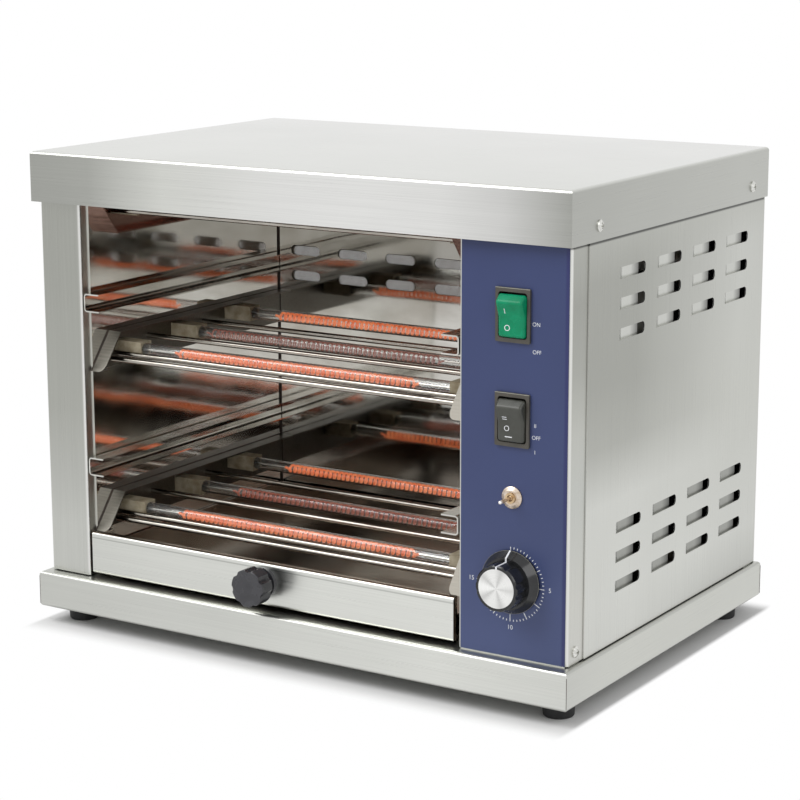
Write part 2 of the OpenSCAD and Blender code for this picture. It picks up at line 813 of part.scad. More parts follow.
// Channel on the side wall that a rack's edge slides in
module rack_guide(side, h) color(bright_steel) chamber_side(side) {
    translate([0, 0, z_plinth + h]) along_y(y_front + guide_setback, chamber_d - guide_setback)
        intersection() {
            sheet_ring([0, -guide_h / 2], [2 * guide_w, guide_h / 2]);
            translate([0, -guide_h / 2]) square([guide_w, guide_h]);
        }
}

// Folded outline of an element bracket, with its tip at the bottom
module bracket_outline() {
    low = -bracket_h / 2;
    high = bracket_h / 2;
    y_inner_bend = y_tip + bracket_slant * (bracket_h - sheet) / bracket_h + slant_run;
    y_inner_tip = y_tip + bracket_slant * sheet / bracket_h + slant_run;
    polygon([
        [y_tip, low], [y_bend, high], [y_wall, high], [y_wall, high - sheet], [y_inner_bend, high - sheet],
        [y_inner_tip, low + sheet], [y_tip + bracket_hem, low + sheet], [y_tip + bracket_hem, low]
    ]);
}

// Round cut at the free corner of a bracket's front flange
module bracket_corner_cut() {
    translate([bracket_w - bracket_corner, 0, -bracket_h / 2]) along_y(y_tip - over, bracket_hem + 2 * over)
        difference() {
            translate([0, -over]) square(bracket_corner + over);
            translate([0, bracket_corner]) circle(bracket_corner);
        }
}

// Folded bracket along a side wall that holds one end of a set of tubes and rods
module element_bracket(side, set) color(bright_steel) chamber_side(side)
    translate([0, 0, set_z[set]]) mirror([0, 0, set_flip[set] < 0 ? 1 : 0]) difference() {
        union() {
            along_x(0, bracket_w) bracket_outline();
            along_x(0, sheet) polygon([
                [y_tip, -bracket_h / 2], [y_bend, bracket_h / 2], [y_wall, bracket_h / 2],
                [y_wall, -bracket_h / 2]
            ]);
        }
        bracket_corner_cut();
        spigot_holes(set, set_flip[set]);
    }

// Ceramic end on the web of a bracket, with the seat for its tube
module ceramic_end() {
    difference() {
        union() {
            translate([sheet, -ceramic_w / 2, -ceramic_h / 2]) cube([ceramic_l, ceramic_w, ceramic_h]);
            bar_x(-sheet - spigot_proud, 2 * sheet + spigot_proud + over, spigot_d);
        }
        bar_x(x_seat, ceramic_seat + over, tube_d + 2 * slip_gap);
    }
}

// Puts its children on the axis of each tube of a set
module at_tubes(set) {
    for (i = [0 : 2]) translate([0, tube_y[i], set_z[set] + tube_lift(set, i)]) children();
}

module ceramic_ends(set) color(ceramic) for (side = [-1, 1])
    chamber_side(side) at_tubes(set) ceramic_end();

// Terminal studs behind the ceramic ends
module element_terminals() color(brass) for (set = [0 : 2], side = [-1, 1])
    chamber_side(side) at_tubes(set) bar_x(-sheet - spigot_proud - stud_l, stud_l, stud_d);

module quartz_tubes(set) color(quartz) at_tubes(set) {
    x0 = x_left + x_seat + slip_gap;
    length = x_right - x_left - 2 * (x_seat + slip_gap);
    difference() {
        bar_x(x0, length, tube_d);
        bar_x(x0 - over, length + 2 * over, tube_d - 2 * tube_wall);
    }
}

module guard_rods(set) color(bright_steel) for (p = rod_places)
    translate([0, p[0], set_z[set] + set_flip[set] * p[1]])
        bar_x(x_left + sheet, x_right - x_left - 2 * sheet, rod_d);

// Tube swept along points: rings of corners, then triangles between them and over the ends
function unit(v) = v / norm(v);
function tangent(points, i) =
    unit(points[min(i + 1, len(points) - 1)] - points[max(i - 1, 0)]);
function ring(point, along, out, r, sides) =
    let (across = unit(cross(along, out)), up = cross(across, along))
    [for (k = [0 : sides - 1]) point + r * (cos(360 * k / sides) * up + sin(360 * k / sides) * across)];
module swept_tube(points, outs, r, sides) {
    last = len(points) - 1;
    corners = [for (i = [0 : last]) each ring(points[i], tangent(points, i), outs[i], r, sides)];
    walls = [
        for (i = [0 : last - 1], k = [0 : sides - 1])
        let (a = i * sides + k, b = i * sides + (k + 1) % sides)
        each [[a, a + sides, b], [b, a + sides, b + sides]]
    ];
    near_end = [for (k = [1 : sides - 2]) [0, k, k + 1]];
    far_end = [for (k = [1 : sides - 2]) [last * sides, last * sides + k + 1, last * sides + k]];
    polyhedron(points = corners, faces = concat(walls, near_end, far_end), convexity = 10);
}

// Heating wire: straight leads on the tube's axis and a helix between them, slid along its tube
coil_rings = 8;
coil_sides = 6;
coil_turn_r = (coil_d - wire_d) / 2;
coil_steps = coil_curls * coil_rings;
coil_pitch = coil_l / coil_curls;
lead_x = [x_left + x_seat + slip_gap, x_right - x_seat - slip_gap];
lead_turn = coil_pitch / 4;
coil_slack = (lead_x[1] - lead_x[0] - coil_l) / 2 - lead_turn - 2 * wire_d;
coil_slide = [[0, 0, 0], [0, -0.67, -0.22], [0, 0, 0]];
function coil_out(i) = [0, cos(360 * i / coil_rings), sin(360 * i / coil_rings)];
function coil_points(slide) = let (x0 = x_chamber - coil_l / 2 + slide * coil_slack) concat(
    [[lead_x[0], 0, 0], [lead_x[0] + wire_d, 0, 0], [x0 - lead_turn, 0, 0]],
    [for (i = [0 : coil_steps]) [x0 + coil_l * i / coil_steps, 0, 0] + coil_turn_r * coil_out(i)],
    [[x0 + coil_l + lead_turn, 0, 0], [lead_x[1] - wire_d, 0, 0], [lead_x[1], 0, 0]]
);
coil_outs = concat(
    [for (i = [1 : 3]) coil_out(0)], [for (i = [0 : coil_steps]) coil_out(i)],
    [for (i = [1 : 3]) coil_out(coil_steps)]
);
coil_gap = min([
    for (i = [0 : coil_steps], j = [i + coil_rings / 2 : 1 : coil_steps])
    norm(coil_points(0)[i + 3] - coil_points(0)[j + 3]) - wire_d
]);
echo(least_gap_between_the_curls_of_a_coil = coil_gap);

module heating_coils(set) color(glow) for (i = [0 : 2])
    translate([0, tube_y[i], set_z[set] + tube_lift(set, i)])
        swept_tube(coil_points(coil_slide[set][i]), coil_outs, wire_d / 2, coil_sides);

// Crumb tray: front, folded lip and ends, floor and low walls
module crumb_tray() color(steel) difference() {
    union() {
        along_x(x_tray_left, tray_w) difference() {
            sheet_ring([y_tray, z_tray], [y_tray_end + chamber_d, z_tray + tray_h]);
            translate([y_tray + tray_lip, z_tray + 2 * sheet]) square([2 * chamber_d, tray_h]);
            translate([y_tray_end, z_tray - over]) square([2 * chamber_d, tray_h]);
        }
        for (x = [x_tray_left, x_tray_right - sheet]) translate([x, y_tray + bend_r, z_tray + sheet / 2]) {
            cube([sheet, y_tray_end - y_tray - bend_r, tray_wall_h - sheet / 2]);
            cube([sheet, tray_lip - bend_r, tray_h - sheet]);
        }
        translate([x_tray_left, y_tray_end - sheet, z_tray + sheet / 2])
            cube([tray_w, sheet, tray_wall_h - sheet / 2]);
    }
    translate([x_tray, 0, z_tray_knob])
        bar_y(y_tray - over, sheet + 2 * over, knob_stud_d + 2 * screw_gap);
}

// Scalloped knob on a stem and collar, with the stud that passes through the tray's front
module tray_knob() color(black) translate([x_tray, y_tray, z_tray_knob]) {
    bar_y(-knob_collar_t, knob_collar_t, knob_collar_d);
    bar_y(-tray_knob_l + knob_head_l - over, tray_knob_l - knob_head_l + over, knob_stem_d);
    bar_y(-over, knob_stud_l + over, knob_stud_d);
    rotate([90, 0, 0]) translate([0, 0, tray_knob_l - knob_head_l]) intersection() {
        linear_extrude(knob_head_l) difference() {
            circle(d = tray_knob_d);
            for (i = [0 : knob_lobes - 1]) rotate(knob_turn + i * 360 / knob_lobes)
                translate([(tray_knob_d + knob_lobe_d) / 2 - knob_lobe_depth, 0]) circle(d = knob_lobe_d);
        }
        rotate_extrude() polygon([
            [0, 0], [knob_rim_r - knob_bevel, 0], [knob_rim_r, knob_bevel],
            [knob_rim_r, knob_head_l - knob_bevel], [knob_rim_r - knob_bevel, knob_head_l], [0, knob_head_l]
        ]);
    }
}

module tray_knob_nut() color(brass) translate([x_tray, y_tray + sheet, z_tray_knob]) rotate([-90, 0, 0])
    difference() {
        cylinder(h = knob_nut_t, d = knob_nut_d, $fn = 6);
        translate([0, 0, -over]) cylinder(h = knob_nut_t + 2 * over, d = knob_stud_d + 2 * slip_gap);
    }

// Strips on the plinth that the tray slides on
module tray_runners() color(steel) for (side = [-1, 1]) chamber_side(side)
    translate([0, y_front + return_d + over, z_plinth])
        cube([runner_w, chamber_d - return_d - 2 * over, tray_lift - run_gap]);

// Housing of a rocker switch: bezel, body, well and pivot holes
module switch_housing(h) color(black) translate([x_controls, y_front, z_plinth + h]) difference() {
    union() {
        along_y(-bezel_t, bezel_t)
            round_rect([-bezel_w / 2, -bezel_h / 2], [bezel_w / 2, bezel_h / 2], bezel_corner);
        translate([-housing_w / 2, -over / 2, -housing_h / 2])
            cube([housing_w, housing_d + over / 2, housing_h]);
        for (x = [-1, 1], z = [-1, 0, 1])
            translate([x * housing_w / 4 - spade[0] / 2, housing_d - over, z * housing_h / 3 - spade[2] / 2])
                cube([spade[0], spade[1] + over, spade[2]]);
    }
    along_y(-bezel_t - over, well_d + bezel_t + over)
        round_rect([-well_w / 2, -well_h / 2], [well_w / 2, well_h / 2], well_corner);
    translate([0, rocker_pivot, 0]) bar_x(-housing_w, 2 * housing_w, pivot_d + 2 * shaft_gap);
}

// Rocker with sloped shoulders, two ridges and a shallow waist, tilted with its lower end pressed
module rocker(h, tint) color(tint)
    translate([x_controls, y_front + rocker_pivot, z_plinth + h]) rotate([rocker_tilt, 0, 0]) {
        intersection() {
            along_x(-rocker_w / 2, rocker_w) polygon([
                [-rocker_edge, rocker_r], [-rocker_tip, rocker_ridge], [-rocker_waist, 0],
                [-rocker_tip, -rocker_ridge], [-rocker_edge, -rocker_r],
                [rocker_back, -rocker_back_h / 2], [rocker_back, rocker_back_h / 2]
            ]);
            along_y(-2 * rocker_r, 4 * rocker_r)
                round_rect([-rocker_w / 2, -rocker_r], [rocker_w / 2, rocker_r], rocker_corner);
            bar_x(-rocker_w, 2 * rocker_w, 2 * rocker_r);
        }
        bar_x(-rocker_w / 2 - pivot_l, rocker_w + 2 * pivot_l, pivot_d);
    }

// Toggle switch: case behind the panel and the bush through it
module toggle_housing() color(brass) translate([x_controls, 0, z_plinth + toggle_h]) difference() {
    union() {
        bar_y(y_front - toggle_bush_l, toggle_bush_l + fascia_t + 2 * sheet, toggle_bush_d);
        translate([-toggle_case[0] / 2, y_panel_back, -toggle_case[2] / 2]) cube(toggle_case);
    }
    bar_y(y_front - toggle_bush_l - over, toggle_well_d + over, toggle_ball_d + 2 * shaft_gap);
    translate([0, y_front - toggle_pivot, 0])
        bar_x(-toggle_pin_l / 2 - slip_gap, toggle_pin_l + 2 * slip_gap, toggle_pin_d + 2 * shaft_gap);
}

// Round nut of the toggle with a sloped crown
module toggle_nut() color(brass)
    translate([x_controls, y_front, z_plinth + toggle_h]) rotate([90, 0, 0]) difference() {
        union() {
            cylinder(h = toggle_rim_t, d = toggle_nut_d);
            translate([0, 0, toggle_rim_t])
                cylinder(h = toggle_nut_t - toggle_rim_t, d1 = toggle_nut_d, d2 = toggle_crown_d);
        }
        translate([0, 0, -over]) cylinder(h = toggle_nut_t + 2 * over, d = toggle_bush_d + 2 * slip_gap);
    }

// Lever of the toggle with its ball and pin in the bush
module toggle_lever() color(bright_steel)
    translate([x_controls, y_front - toggle_pivot, z_plinth + toggle_h]) rotate([90, 0, 0]) {
        stem_l = toggle_reach - toggle_pivot - toggle_tip_d / 2;
        sphere(d = toggle_ball_d);
        bar_x(-toggle_pin_l / 2, toggle_pin_l, toggle_pin_d);
        cylinder(h = stem_l, d1 = toggle_root_d, d2 = toggle_tip_d);
        translate([0, 0, stem_l]) sphere(d = toggle_tip_d);
    }

// Clockwork timer behind the panel, with the bush for its shaft
module timer_case() color(black) translate([x_controls, 0, z_plinth + timer_h]) difference() {
    union() {
        translate([-timer_case_w / 2, y_panel_back, -timer_case_w / 2])
            cube([timer_case_w, timer_case_d, timer_case_w]);
        bar_y(y_front - timer_bush_l, timer_bush_l + y_panel_back - y_front + over, timer_bush_d);
    }
    bar_y(y_front - timer_bush_l - over, timer_bush_l + over + shaft_in + run_gap, shaft_d + 2 * shaft_gap);
}

module timer_shaft() color(brass) translate([x_controls, 0, z_plinth + timer_h])
    bar_y(y_front - knob_gap - knob_bore_l, knob_gap + knob_bore_l + shaft_in, shaft_d);

// Timer knob: conical skirt, fluted grip and a seat for the cap
module timer_knob() color(black)
    translate([x_controls, y_front - knob_gap, z_plinth + timer_h]) rotate([90, 0, 0]) {
        reach = knob_reach - knob_gap;
        cone_top = knob_rim_t + knob_cone_l;
        difference() {
            rotate_extrude() polygon([
                [0, 0], [knob_skirt_d / 2, 0], [knob_skirt_d / 2, knob_rim_t],
                [knob_grip_d / 2 + knob_ledge, cone_top], [knob_grip_d / 2, cone_top],
                [knob_grip_d / 2 - knob_draft, reach - knob_edge],
                [knob_grip_d / 2 - knob_draft - knob_edge, reach], [0, reach]
            ]);
            translate([0, 0, reach - knob_cap_t])
                cylinder(h = 2 * knob_cap_t, d = knob_cap_d + 2 * slip_gap);
            translate([0, 0, -over])
                cylinder(h = knob_bore_l + over + slip_gap, d = shaft_d + 2 * shaft_gap);
            translate([0, 0, -over]) cylinder(h = timer_bush_l + over, d = timer_bush_d + 4 * run_gap);
            for (i = [0 : knob_flutes - 1]) rotate((i + 0.5) * 360 / knob_flutes)
                translate([knob_grip_d / 2 + flute_d / 2 - flute_depth, 0, cone_top])
                    cylinder(h = reach, d = flute_d);
        }
    }

module timer_knob_cap() color(bright_steel) translate([x_controls, 0, z_plinth + timer_h])
    bar_y(y_front - knob_reach, knob_cap_t, knob_cap_d);

// Terminal block on the plinth in the control space
module terminal_block() color(ceramic)
    translate([x_controls - block_size[0] / 2, y_back - block_back - block_size[1], z_plinth]) difference() {
        cube(block_size);
        for (i = [0 : block_poles - 1])
            translate([(i + 0.5) * block_size[0] / block_poles, block_size[1] + over, block_size[2] / 2])
                bar_y(-block_size[1] / 2, block_size[1] / 2 + over, block_bore_d);
    }

// Cable gland through the rear panel, with its lock nut inside
module cable_gland() color(black) translate([x_controls, 0, z_plinth + gland_h]) difference() {
    union() {
        bar_y(y_back - sheet - gland_thread_l, gland_thread_l + sheet + gland_l / 2, gland_d);
        translate([0, y_back, 0]) rotate([-90, 0, 0]) cylinder(h = gland_hex_t, d = gland_hex_d, $fn = 6);
        translate([0, y_back - sheet - gland_nut_t, 0]) rotate([-90, 0, 0])
            cylinder(h = gland_nut_t, d = gland_hex_d, $fn = 6);
        translate([0, y_back + gland_hex_t, 0]) rotate([-90, 0, 0])
            cylinder(h = gland_l - gland_hex_t, d1 = gland_dome_d, d2 = gland_tip_d);
    }
    bar_y(y_back - sheet - gland_thread_l - over, gland_thread_l + gland_l + sheet + 2 * over, gland_bore_d);
}

// Bundle of wires from the terminal block up to the main switch
module wiring_loom() color(black) {
    y0 = y_back - block_back - block_size[1] / 2;
    y1 = y_front + housing_d + spade[1];
    z0 = z_plinth + block_size[2];
    z1 = z_plinth + main_switch_h;
    arc = [
        for (i = [0 : loom_arc_steps])
        let (a = 90 * i / loom_arc_steps)
        [x_controls, y0 - loom_r + loom_r * cos(a), z1 - loom_r + loom_r * sin(a)]
    ];
    route = concat([[x_controls, y0, z0], [x_controls, y0, z0 + loom_d]], arc,
        [[x_controls, y1 + loom_d, z1], [x_controls, y1, z1]]);
    swept_tube(route, [for (p = route) [1, 0, 0]], loom_d / 2, loom_sides);
}

module placed() translate([0, frame_shift, 0]) children();

placed() base_tray();
placed() lid();
placed() left_cover();
placed() right_cover();
placed() rear_angle();
placed() rear_panel();
placed() control_panel();
placed() control_fascia();
placed() side_wall(-1);  // left_wall
placed() side_wall(1);  // right_wall
placed() back_wall();
placed() ceiling();
placed() foot(-1, -1);  // foot_front_left
placed() foot(1, -1);  // foot_front_right
placed() foot(-1, 1);  // foot_back_left
placed() foot(1, 1);  // foot_back_right
placed() foot_screws();
placed() lid_screws();
placed() case_screws();
placed() rack_guide(-1, upper_guide_h);  // rack_guide_upper_left
placed() rack_guide(1, upper_guide_h);  // rack_guide_upper_right
placed() rack_guide(-1, lower_guide_h);  // rack_guide_lower_left
placed() rack_guide(1, lower_guide_h);  // rack_guide_lower_right
for (set = [0 : 2]) {
    placed() element_bracket(-1, set);
    placed() element_bracket(1, set);
    placed() quartz_tubes(set);
    placed() heating_coils(set);
    placed() ceramic_ends(set);
    placed() guard_rods(set);
}
placed() element_terminals();
placed() crumb_tray();
placed() tray_knob();
placed() tray_knob_nut();
placed() tray_runners();
placed() switch_housing(main_switch_h);  // main_switch_housing
placed() rocker(main_switch_h, green);  // main_rocker
placed() switch_housing(deck_switch_h);  // deck_switch_housing
placed() rocker(deck_switch_h, black);  // deck_rocker
placed() toggle_housing();
placed() toggle_nut();
placed() toggle_lever();
placed() timer_case();
placed() timer_shaft();
placed() timer_knob();
placed() timer_knob_cap();
placed() terminal_block();
placed() cable_gland();
placed() wiring_loom();
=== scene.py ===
"""Looks of a two-deck bar toaster.

Brushed and polished stainless steel, glowing quartz heaters and a blue control front.
"""

import json
import math

import bmesh
import bpy
from mathutils import Matrix, Vector


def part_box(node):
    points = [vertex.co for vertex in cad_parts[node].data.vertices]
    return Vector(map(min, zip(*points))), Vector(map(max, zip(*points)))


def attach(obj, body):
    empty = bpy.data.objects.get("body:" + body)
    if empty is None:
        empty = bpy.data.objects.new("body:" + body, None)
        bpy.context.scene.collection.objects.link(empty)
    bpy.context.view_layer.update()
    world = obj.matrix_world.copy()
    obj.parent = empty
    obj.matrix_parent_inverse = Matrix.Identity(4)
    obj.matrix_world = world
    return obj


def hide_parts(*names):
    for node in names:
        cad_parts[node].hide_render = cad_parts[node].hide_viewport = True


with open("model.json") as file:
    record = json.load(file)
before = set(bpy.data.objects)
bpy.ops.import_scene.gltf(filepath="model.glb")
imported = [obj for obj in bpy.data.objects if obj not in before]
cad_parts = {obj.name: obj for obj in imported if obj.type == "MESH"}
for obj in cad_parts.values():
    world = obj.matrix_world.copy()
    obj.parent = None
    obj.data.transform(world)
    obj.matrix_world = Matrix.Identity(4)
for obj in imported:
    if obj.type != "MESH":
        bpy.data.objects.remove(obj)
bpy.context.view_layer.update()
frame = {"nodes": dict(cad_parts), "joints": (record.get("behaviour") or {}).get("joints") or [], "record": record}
MM = 0.001
NODES = frame["nodes"]
JOINTS = {joint["name"]: joint for joint in frame["joints"]}
SLOTS = {part["node"]: part["material_slot"] for part in frame["record"]["subparts"]}
LEVELS = ("bottom", "middle", "top")
SIDES = ("left", "right")


def put(name, data):
    """A new object in the scene that holds the given data."""
    item = bpy.data.objects.new(name, data)
    bpy.context.scene.collection.objects.link(item)
    return item


# Camera, solved from the lid's and the plinth's corners

IMAGE_SIDE = 800
FOCAL_PIXELS = 2331.246
SENSOR_MM = 36.0
CLIP_END = 50.0
CAMERA_PLACE_MM = (870.167, -1378.692, 514.405)
CAMERA_AZIMUTH = 32.329
CAMERA_ELEVATION = 12.225
CAMERA_ROLL = -0.122


def make_camera():
    azimuth, elevation = math.radians(CAMERA_AZIMUTH), math.radians(CAMERA_ELEVATION)
    level = Vector((math.cos(azimuth), math.sin(azimuth), 0.0))
    flat = math.cos(elevation)
    back = Vector((math.sin(azimuth) * flat, -math.cos(azimuth) * flat, math.sin(elevation)))
    turn = Matrix((level, back.cross(level), back)).transposed()
    turn = turn @ Matrix.Rotation(math.radians(CAMERA_ROLL), 3, "Z")
    data = bpy.data.cameras.new("photo_camera")
    data.sensor_width = SENSOR_MM
    data.lens = FOCAL_PIXELS / IMAGE_SIDE * SENSOR_MM
    data.clip_end = CLIP_END
    camera = put("photo_camera", data)
    camera.matrix_world = Matrix.Translation(Vector(CAMERA_PLACE_MM) * MM) @ turn.to_4x4()
    bpy.context.scene.camera = camera


make_camera()


# Nodes

# Kinds of node: a type, or a type and its settings
# Map Range takes a value, the span that the value comes in, and the span that it is turned into
RANGE = "ShaderNodeMapRange"
MIX = "ShaderNodeMix"
BLEND = (MIX, {"data_type": "RGBA"})
ADD, SUBTRACT, MULTIPLY, DIVIDE, MODULO, ABSOLUTE, MAXIMUM, GREATER_THAN, LESS_THAN, SINE, COSINE, ARCTAN2 = [
    ("ShaderNodeMath", {"operation": name}) for name in (
        "ADD", "SUBTRACT", "MULTIPLY", "DIVIDE", "MODULO", "ABSOLUTE", "MAXIMUM", "GREATER_THAN", "LESS_THAN",
        "SINE", "COSINE", "ARCTAN2",
    )
]
VECTOR_SUBTRACT, VECTOR_MULTIPLY, SCALE, LENGTH, CROSS_PRODUCT, NORMALIZE = [
    ("ShaderNodeVectorMath", {"operation": name})
    for name in ("SUBTRACT", "MULTIPLY", "SCALE", "LENGTH", "CROSS_PRODUCT", "NORMALIZE")
]
RAMP = "ShaderNodeValToRGB"
BUMP = "ShaderNodeBump"
COORDINATES = "ShaderNodeTexCoord"
SEPARATE = "ShaderNodeSeparateXYZ"
COMBINE = "ShaderNodeCombineXYZ"
JOIN = "GeometryNodeJoinGeometry"
LINE = "GeometryNodeCurvePrimitiveLine"
CIRCLE = "GeometryNodeCurvePrimitiveCircle"
SWEEP = "GeometryNodeCurveToMesh"
MOVE = "GeometryNodeTransform"
COPY = "GeometryNodeInstanceOnPoints"
REALIZE = "GeometryNodeRealizeInstances"
SET_MATERIAL = "GeometryNodeSetMaterial"
OUTPUT = "NodeGroupOutput"

# Most of a noise lies in this span
NOISE_SPAN = (0.3, 0.7)


def linear(code):
    """Linear colour with full alpha from an sRGB hex value."""
    parts = [int(code[i:i + 2], 16) / 255 for i in (1, 3, 5)]
    return (*[c / 12.92 if c <= 0.04045 else ((c + 0.055) / 1.055) ** 2.4 for c in parts], 1.0)


def add(tree, kind, inputs=(), stops=(), **settings):
    """Adds one node with its settings, its inputs and, on a colour ramp, its (place, hex) stops.

    Inputs are values, sockets or nodes, and a node stands for its first output in use. A dict names the
    sockets, a tuple fills those in use in their order, and a list gives one socket several links.
    """
    kind, preset = (kind, {}) if isinstance(kind, str) else kind
    node = tree.nodes.new(kind)
    for name, value in {**preset, **settings}.items():
        setattr(node, name, value)
    if stops:
        elements = node.color_ramp.elements
        elements[0].position, elements[-1].position = stops[0][0], stops[-1][0]
        for place, _ in stops[1:-1]:
            elements.new(place)
        for element, (_, code) in zip(elements, stops):
            element.color = linear(code)
    if isinstance(inputs, tuple):
        inputs = dict(zip([place for place, socket in enumerate(node.inputs) if socket.enabled], inputs))
    for name, value in inputs.items():
        for item in value if isinstance(value, list) else [value]:
            if isinstance(item, bpy.types.Node):
                item = next(output for output in item.outputs if output.enabled)
            if isinstance(item, bpy.types.NodeSocket):
                tree.links.new(item, node.inputs[name])
            else:
                node.inputs[name].default_value = item
    return node


def surface(name, look, *details, **choices):
    """A material of one Principled shader. Its look adds the nodes and returns the shader's inputs."""
    material = bpy.data.materials.new(name)
    material.use_nodes = True
    tree = material.node_tree
    tree.nodes.clear()
    shader = add(tree, "ShaderNodeBsdfPrincipled", look(tree, *details, **choices))
    add(tree, "ShaderNodeOutputMaterial", {"Surface": shader})
    return material


def object_places(tree):
    """Object coordinates, and their parts along X, Y and Z."""
    position = add(tree, COORDINATES).outputs["Object"]
    return position, add(tree, SEPARATE, (position,)).outputs


def stretched_noise(tree, spacing_mm, detail=2.0, position=None):
    """Noise on Object coordinates whose features measure spacing_mm along X, Y and Z."""
    if position is None:
        position = add(tree, COORDINATES).outputs["Object"]
    scale = tuple(1.0 / (size * MM) for size in spacing_mm)
    mapped = add(tree, "ShaderNodeMapping", {"Vector": position, "Scale": scale})
    return add(tree, "ShaderNodeTexNoise", {"Vector": mapped, "Scale": 1.0, "Detail": detail})


def mottled(tree, noise, first, second):
    """Colour that wanders between two hex values with a noise."""
    share = add(tree, RANGE, (noise, *NOISE_SPAN))
    return add(tree, BLEND, (share, linear(first), linear(second)))


def tone(tree, places, spec):
    """Colour of a face: one hex value, stops along an axis in mm, or two specs blended along an axis."""
    if isinstance(spec, str):
        return linear(spec)
    axis, low, high, *rest = spec
    along = add(tree, RANGE, (places[axis], low * MM, high * MM))
    if len(rest) == 1:
        return add(tree, RAMP, (along,), stops=rest[0])
    first, second = [tone(tree, places, part) for part in rest]
    return add(tree, BLEND, (along, first, second))


# Sheet steel, with lengths in mm

SCRATCH_MM = 0.5
SCRATCH_RUN_MM = 110.0
LEVEL_GRAIN = (SCRATCH_RUN_MM, SCRATCH_RUN_MM, SCRATCH_MM)
UPRIGHT_GRAIN = (SCRATCH_MM, SCRATCH_MM, SCRATCH_RUN_MM)
TOP_GRAIN = (SCRATCH_RUN_MM, SCRATCH_MM, SCRATCH_RUN_MM)
STREAK_GAIN = (0.95, 1.04)
CLOUD_GAIN = (0.98, 1.02)
BRUSHED_ROUGHNESS = (0.27, 0.36)
FACE_LIMIT = 0.7
BEND_FLATNESS = (0.8, 0.985)
BEND_SHINE = 0.8
CREASE_CORE = 0.3
POLISHED_ROUGHNESS = (0.04, 0.1)
STAIN_SPAN = (0.45, 0.75)
STAIN_SHARE = 0.5
TOP_SHADE_SHARE = 0.7
TRAY_HEM_DROP = 4.0
TRAY_SHEET = 0.8
PAN_ROUGHNESS = (0.14, 0.24)
LID_REACH = 2.5
TONGUE_SINK = 0.1
VENT_FIRST = -79.0
VENT_PITCH = 53.0
VENT_SHADE = (18.0, 29.0)
VENT_SHADE_GAIN = (1.0, 0.3)
VENT_HEIGHTS = (150, 200)


def brushed_stainless(tree, front, side, top, grain, creases=(), bend="#E6E6E3"):
    """Stainless sheet brushed by a belt: fine scratches spread the highlights, and each face takes a painted tone
    that stands in for the room's reflection and shade on it. Bends take a painted highlight, and creases hold a
    painted dark line of shade.

    Front, side and top are the painted reflection and shade tones of the faces that look along Y, X and Z, and
    bend is the painted highlight tone of the bends. A crease is (axis, place, reach, depth). Real scratches are
    about 0.1 mm wide; they are drawn 0.5 mm wide so that they show.
    """
    position, places = object_places(tree)
    normal = add(tree, SEPARATE, (add(tree, "ShaderNodeNewGeometry").outputs["Normal"],)).outputs
    facing = [add(tree, ABSOLUTE, (part,)) for part in normal]
    is_side = add(tree, GREATER_THAN, (facing[0], FACE_LIMIT))
    is_top = add(tree, GREATER_THAN, (facing[2], FACE_LIMIT))
    # Painted reflection and shade: each face takes the tone given for the way it faces
    colour = add(tree, BLEND, (is_side, tone(tree, places, front), tone(tree, places, side)))
    colour = add(tree, BLEND, (is_top, colour, tone(tree, places, top)))
    # Painted highlight on the bends, where a face turns from one direction to another
    upright = add(tree, MAXIMUM, (facing[0], facing[1]))
    flatness = add(tree, MAXIMUM, (upright, facing[2]))
    bend_highlight_share = add(tree, RANGE, (flatness, *BEND_FLATNESS, BEND_SHINE, 0.0))
    colour = add(tree, BLEND, (bend_highlight_share, colour, linear(bend)))
    streaks = [stretched_noise(tree, spacing, 3.0, position) for spacing in (grain, TOP_GRAIN)]
    streak = add(tree, MIX, (is_top, *streaks))
    cloud = stretched_noise(tree, (90.0, 90.0, 90.0), 2.0, position)
    streak_gain = add(tree, RANGE, (streak, *NOISE_SPAN, *STREAK_GAIN))
    cloud_gain = add(tree, RANGE, (cloud, *NOISE_SPAN, *CLOUD_GAIN))
    gain = add(tree, MULTIPLY, (streak_gain, cloud_gain))
    for axis, place, reach, depth in creases:
        offset = add(tree, SUBTRACT, (places[axis], place * MM))
        away = add(tree, ABSOLUTE, (offset,))
        shade = add(tree, RANGE, (away, CREASE_CORE * reach * MM, reach * MM, 1.0 - depth, 1.0))
        gain = add(tree, MULTIPLY, (gain, shade))
    return {
        "Base Color": add(tree, SCALE, (colour, gain)),
        "Metallic": 1.0,
        "Roughness": add(tree, RANGE, (streak, *NOISE_SPAN, *BRUSHED_ROUGHNESS)),
        "Normal": add(tree, BUMP, {"Strength": 0.05, "Distance": 0.1 * MM, "Height": streak}),
    }


def polished_stainless(tree, light, dark, stain, top_darkening=None):
    """Mirror polished stainless: thin sheet that waves a little, with faint heat stains and wiped smears.

    The last argument is (low, high, hex): a painted dark reflection that deepens between two heights.
    """
    position = add(tree, COORDINATES).outputs["Object"]
    smear = stretched_noise(tree, (35.0, 35.0, 14.0), 4.0, position)
    heat = stretched_noise(tree, (70.0, 70.0, 50.0), 2.0, position)
    wave = stretched_noise(tree, (45.0, 45.0, 45.0), 1.0, position)
    stained = add(tree, RANGE, (heat, *STAIN_SPAN, 0.0, STAIN_SHARE))
    colour = add(tree, BLEND, (stained, mottled(tree, smear, dark, light), linear(stain)))
    if top_darkening:
        low, high, shade_tone = top_darkening
        _, (_, _, height) = object_places(tree)
        darkened_share = add(tree, RANGE, (height, low * MM, high * MM, 0.0, TOP_SHADE_SHARE))
        colour = add(tree, BLEND, (darkened_share, colour, linear(shade_tone)))
    return {
        "Base Color": colour,
        "Metallic": 1.0,
        "Roughness": add(tree, RANGE, (smear, *NOISE_SPAN, *POLISHED_ROUGHNESS)),
        "Normal": add(tree, BUMP, {"Strength": 0.14, "Distance": 1.0 * MM, "Height": wave}),
    }


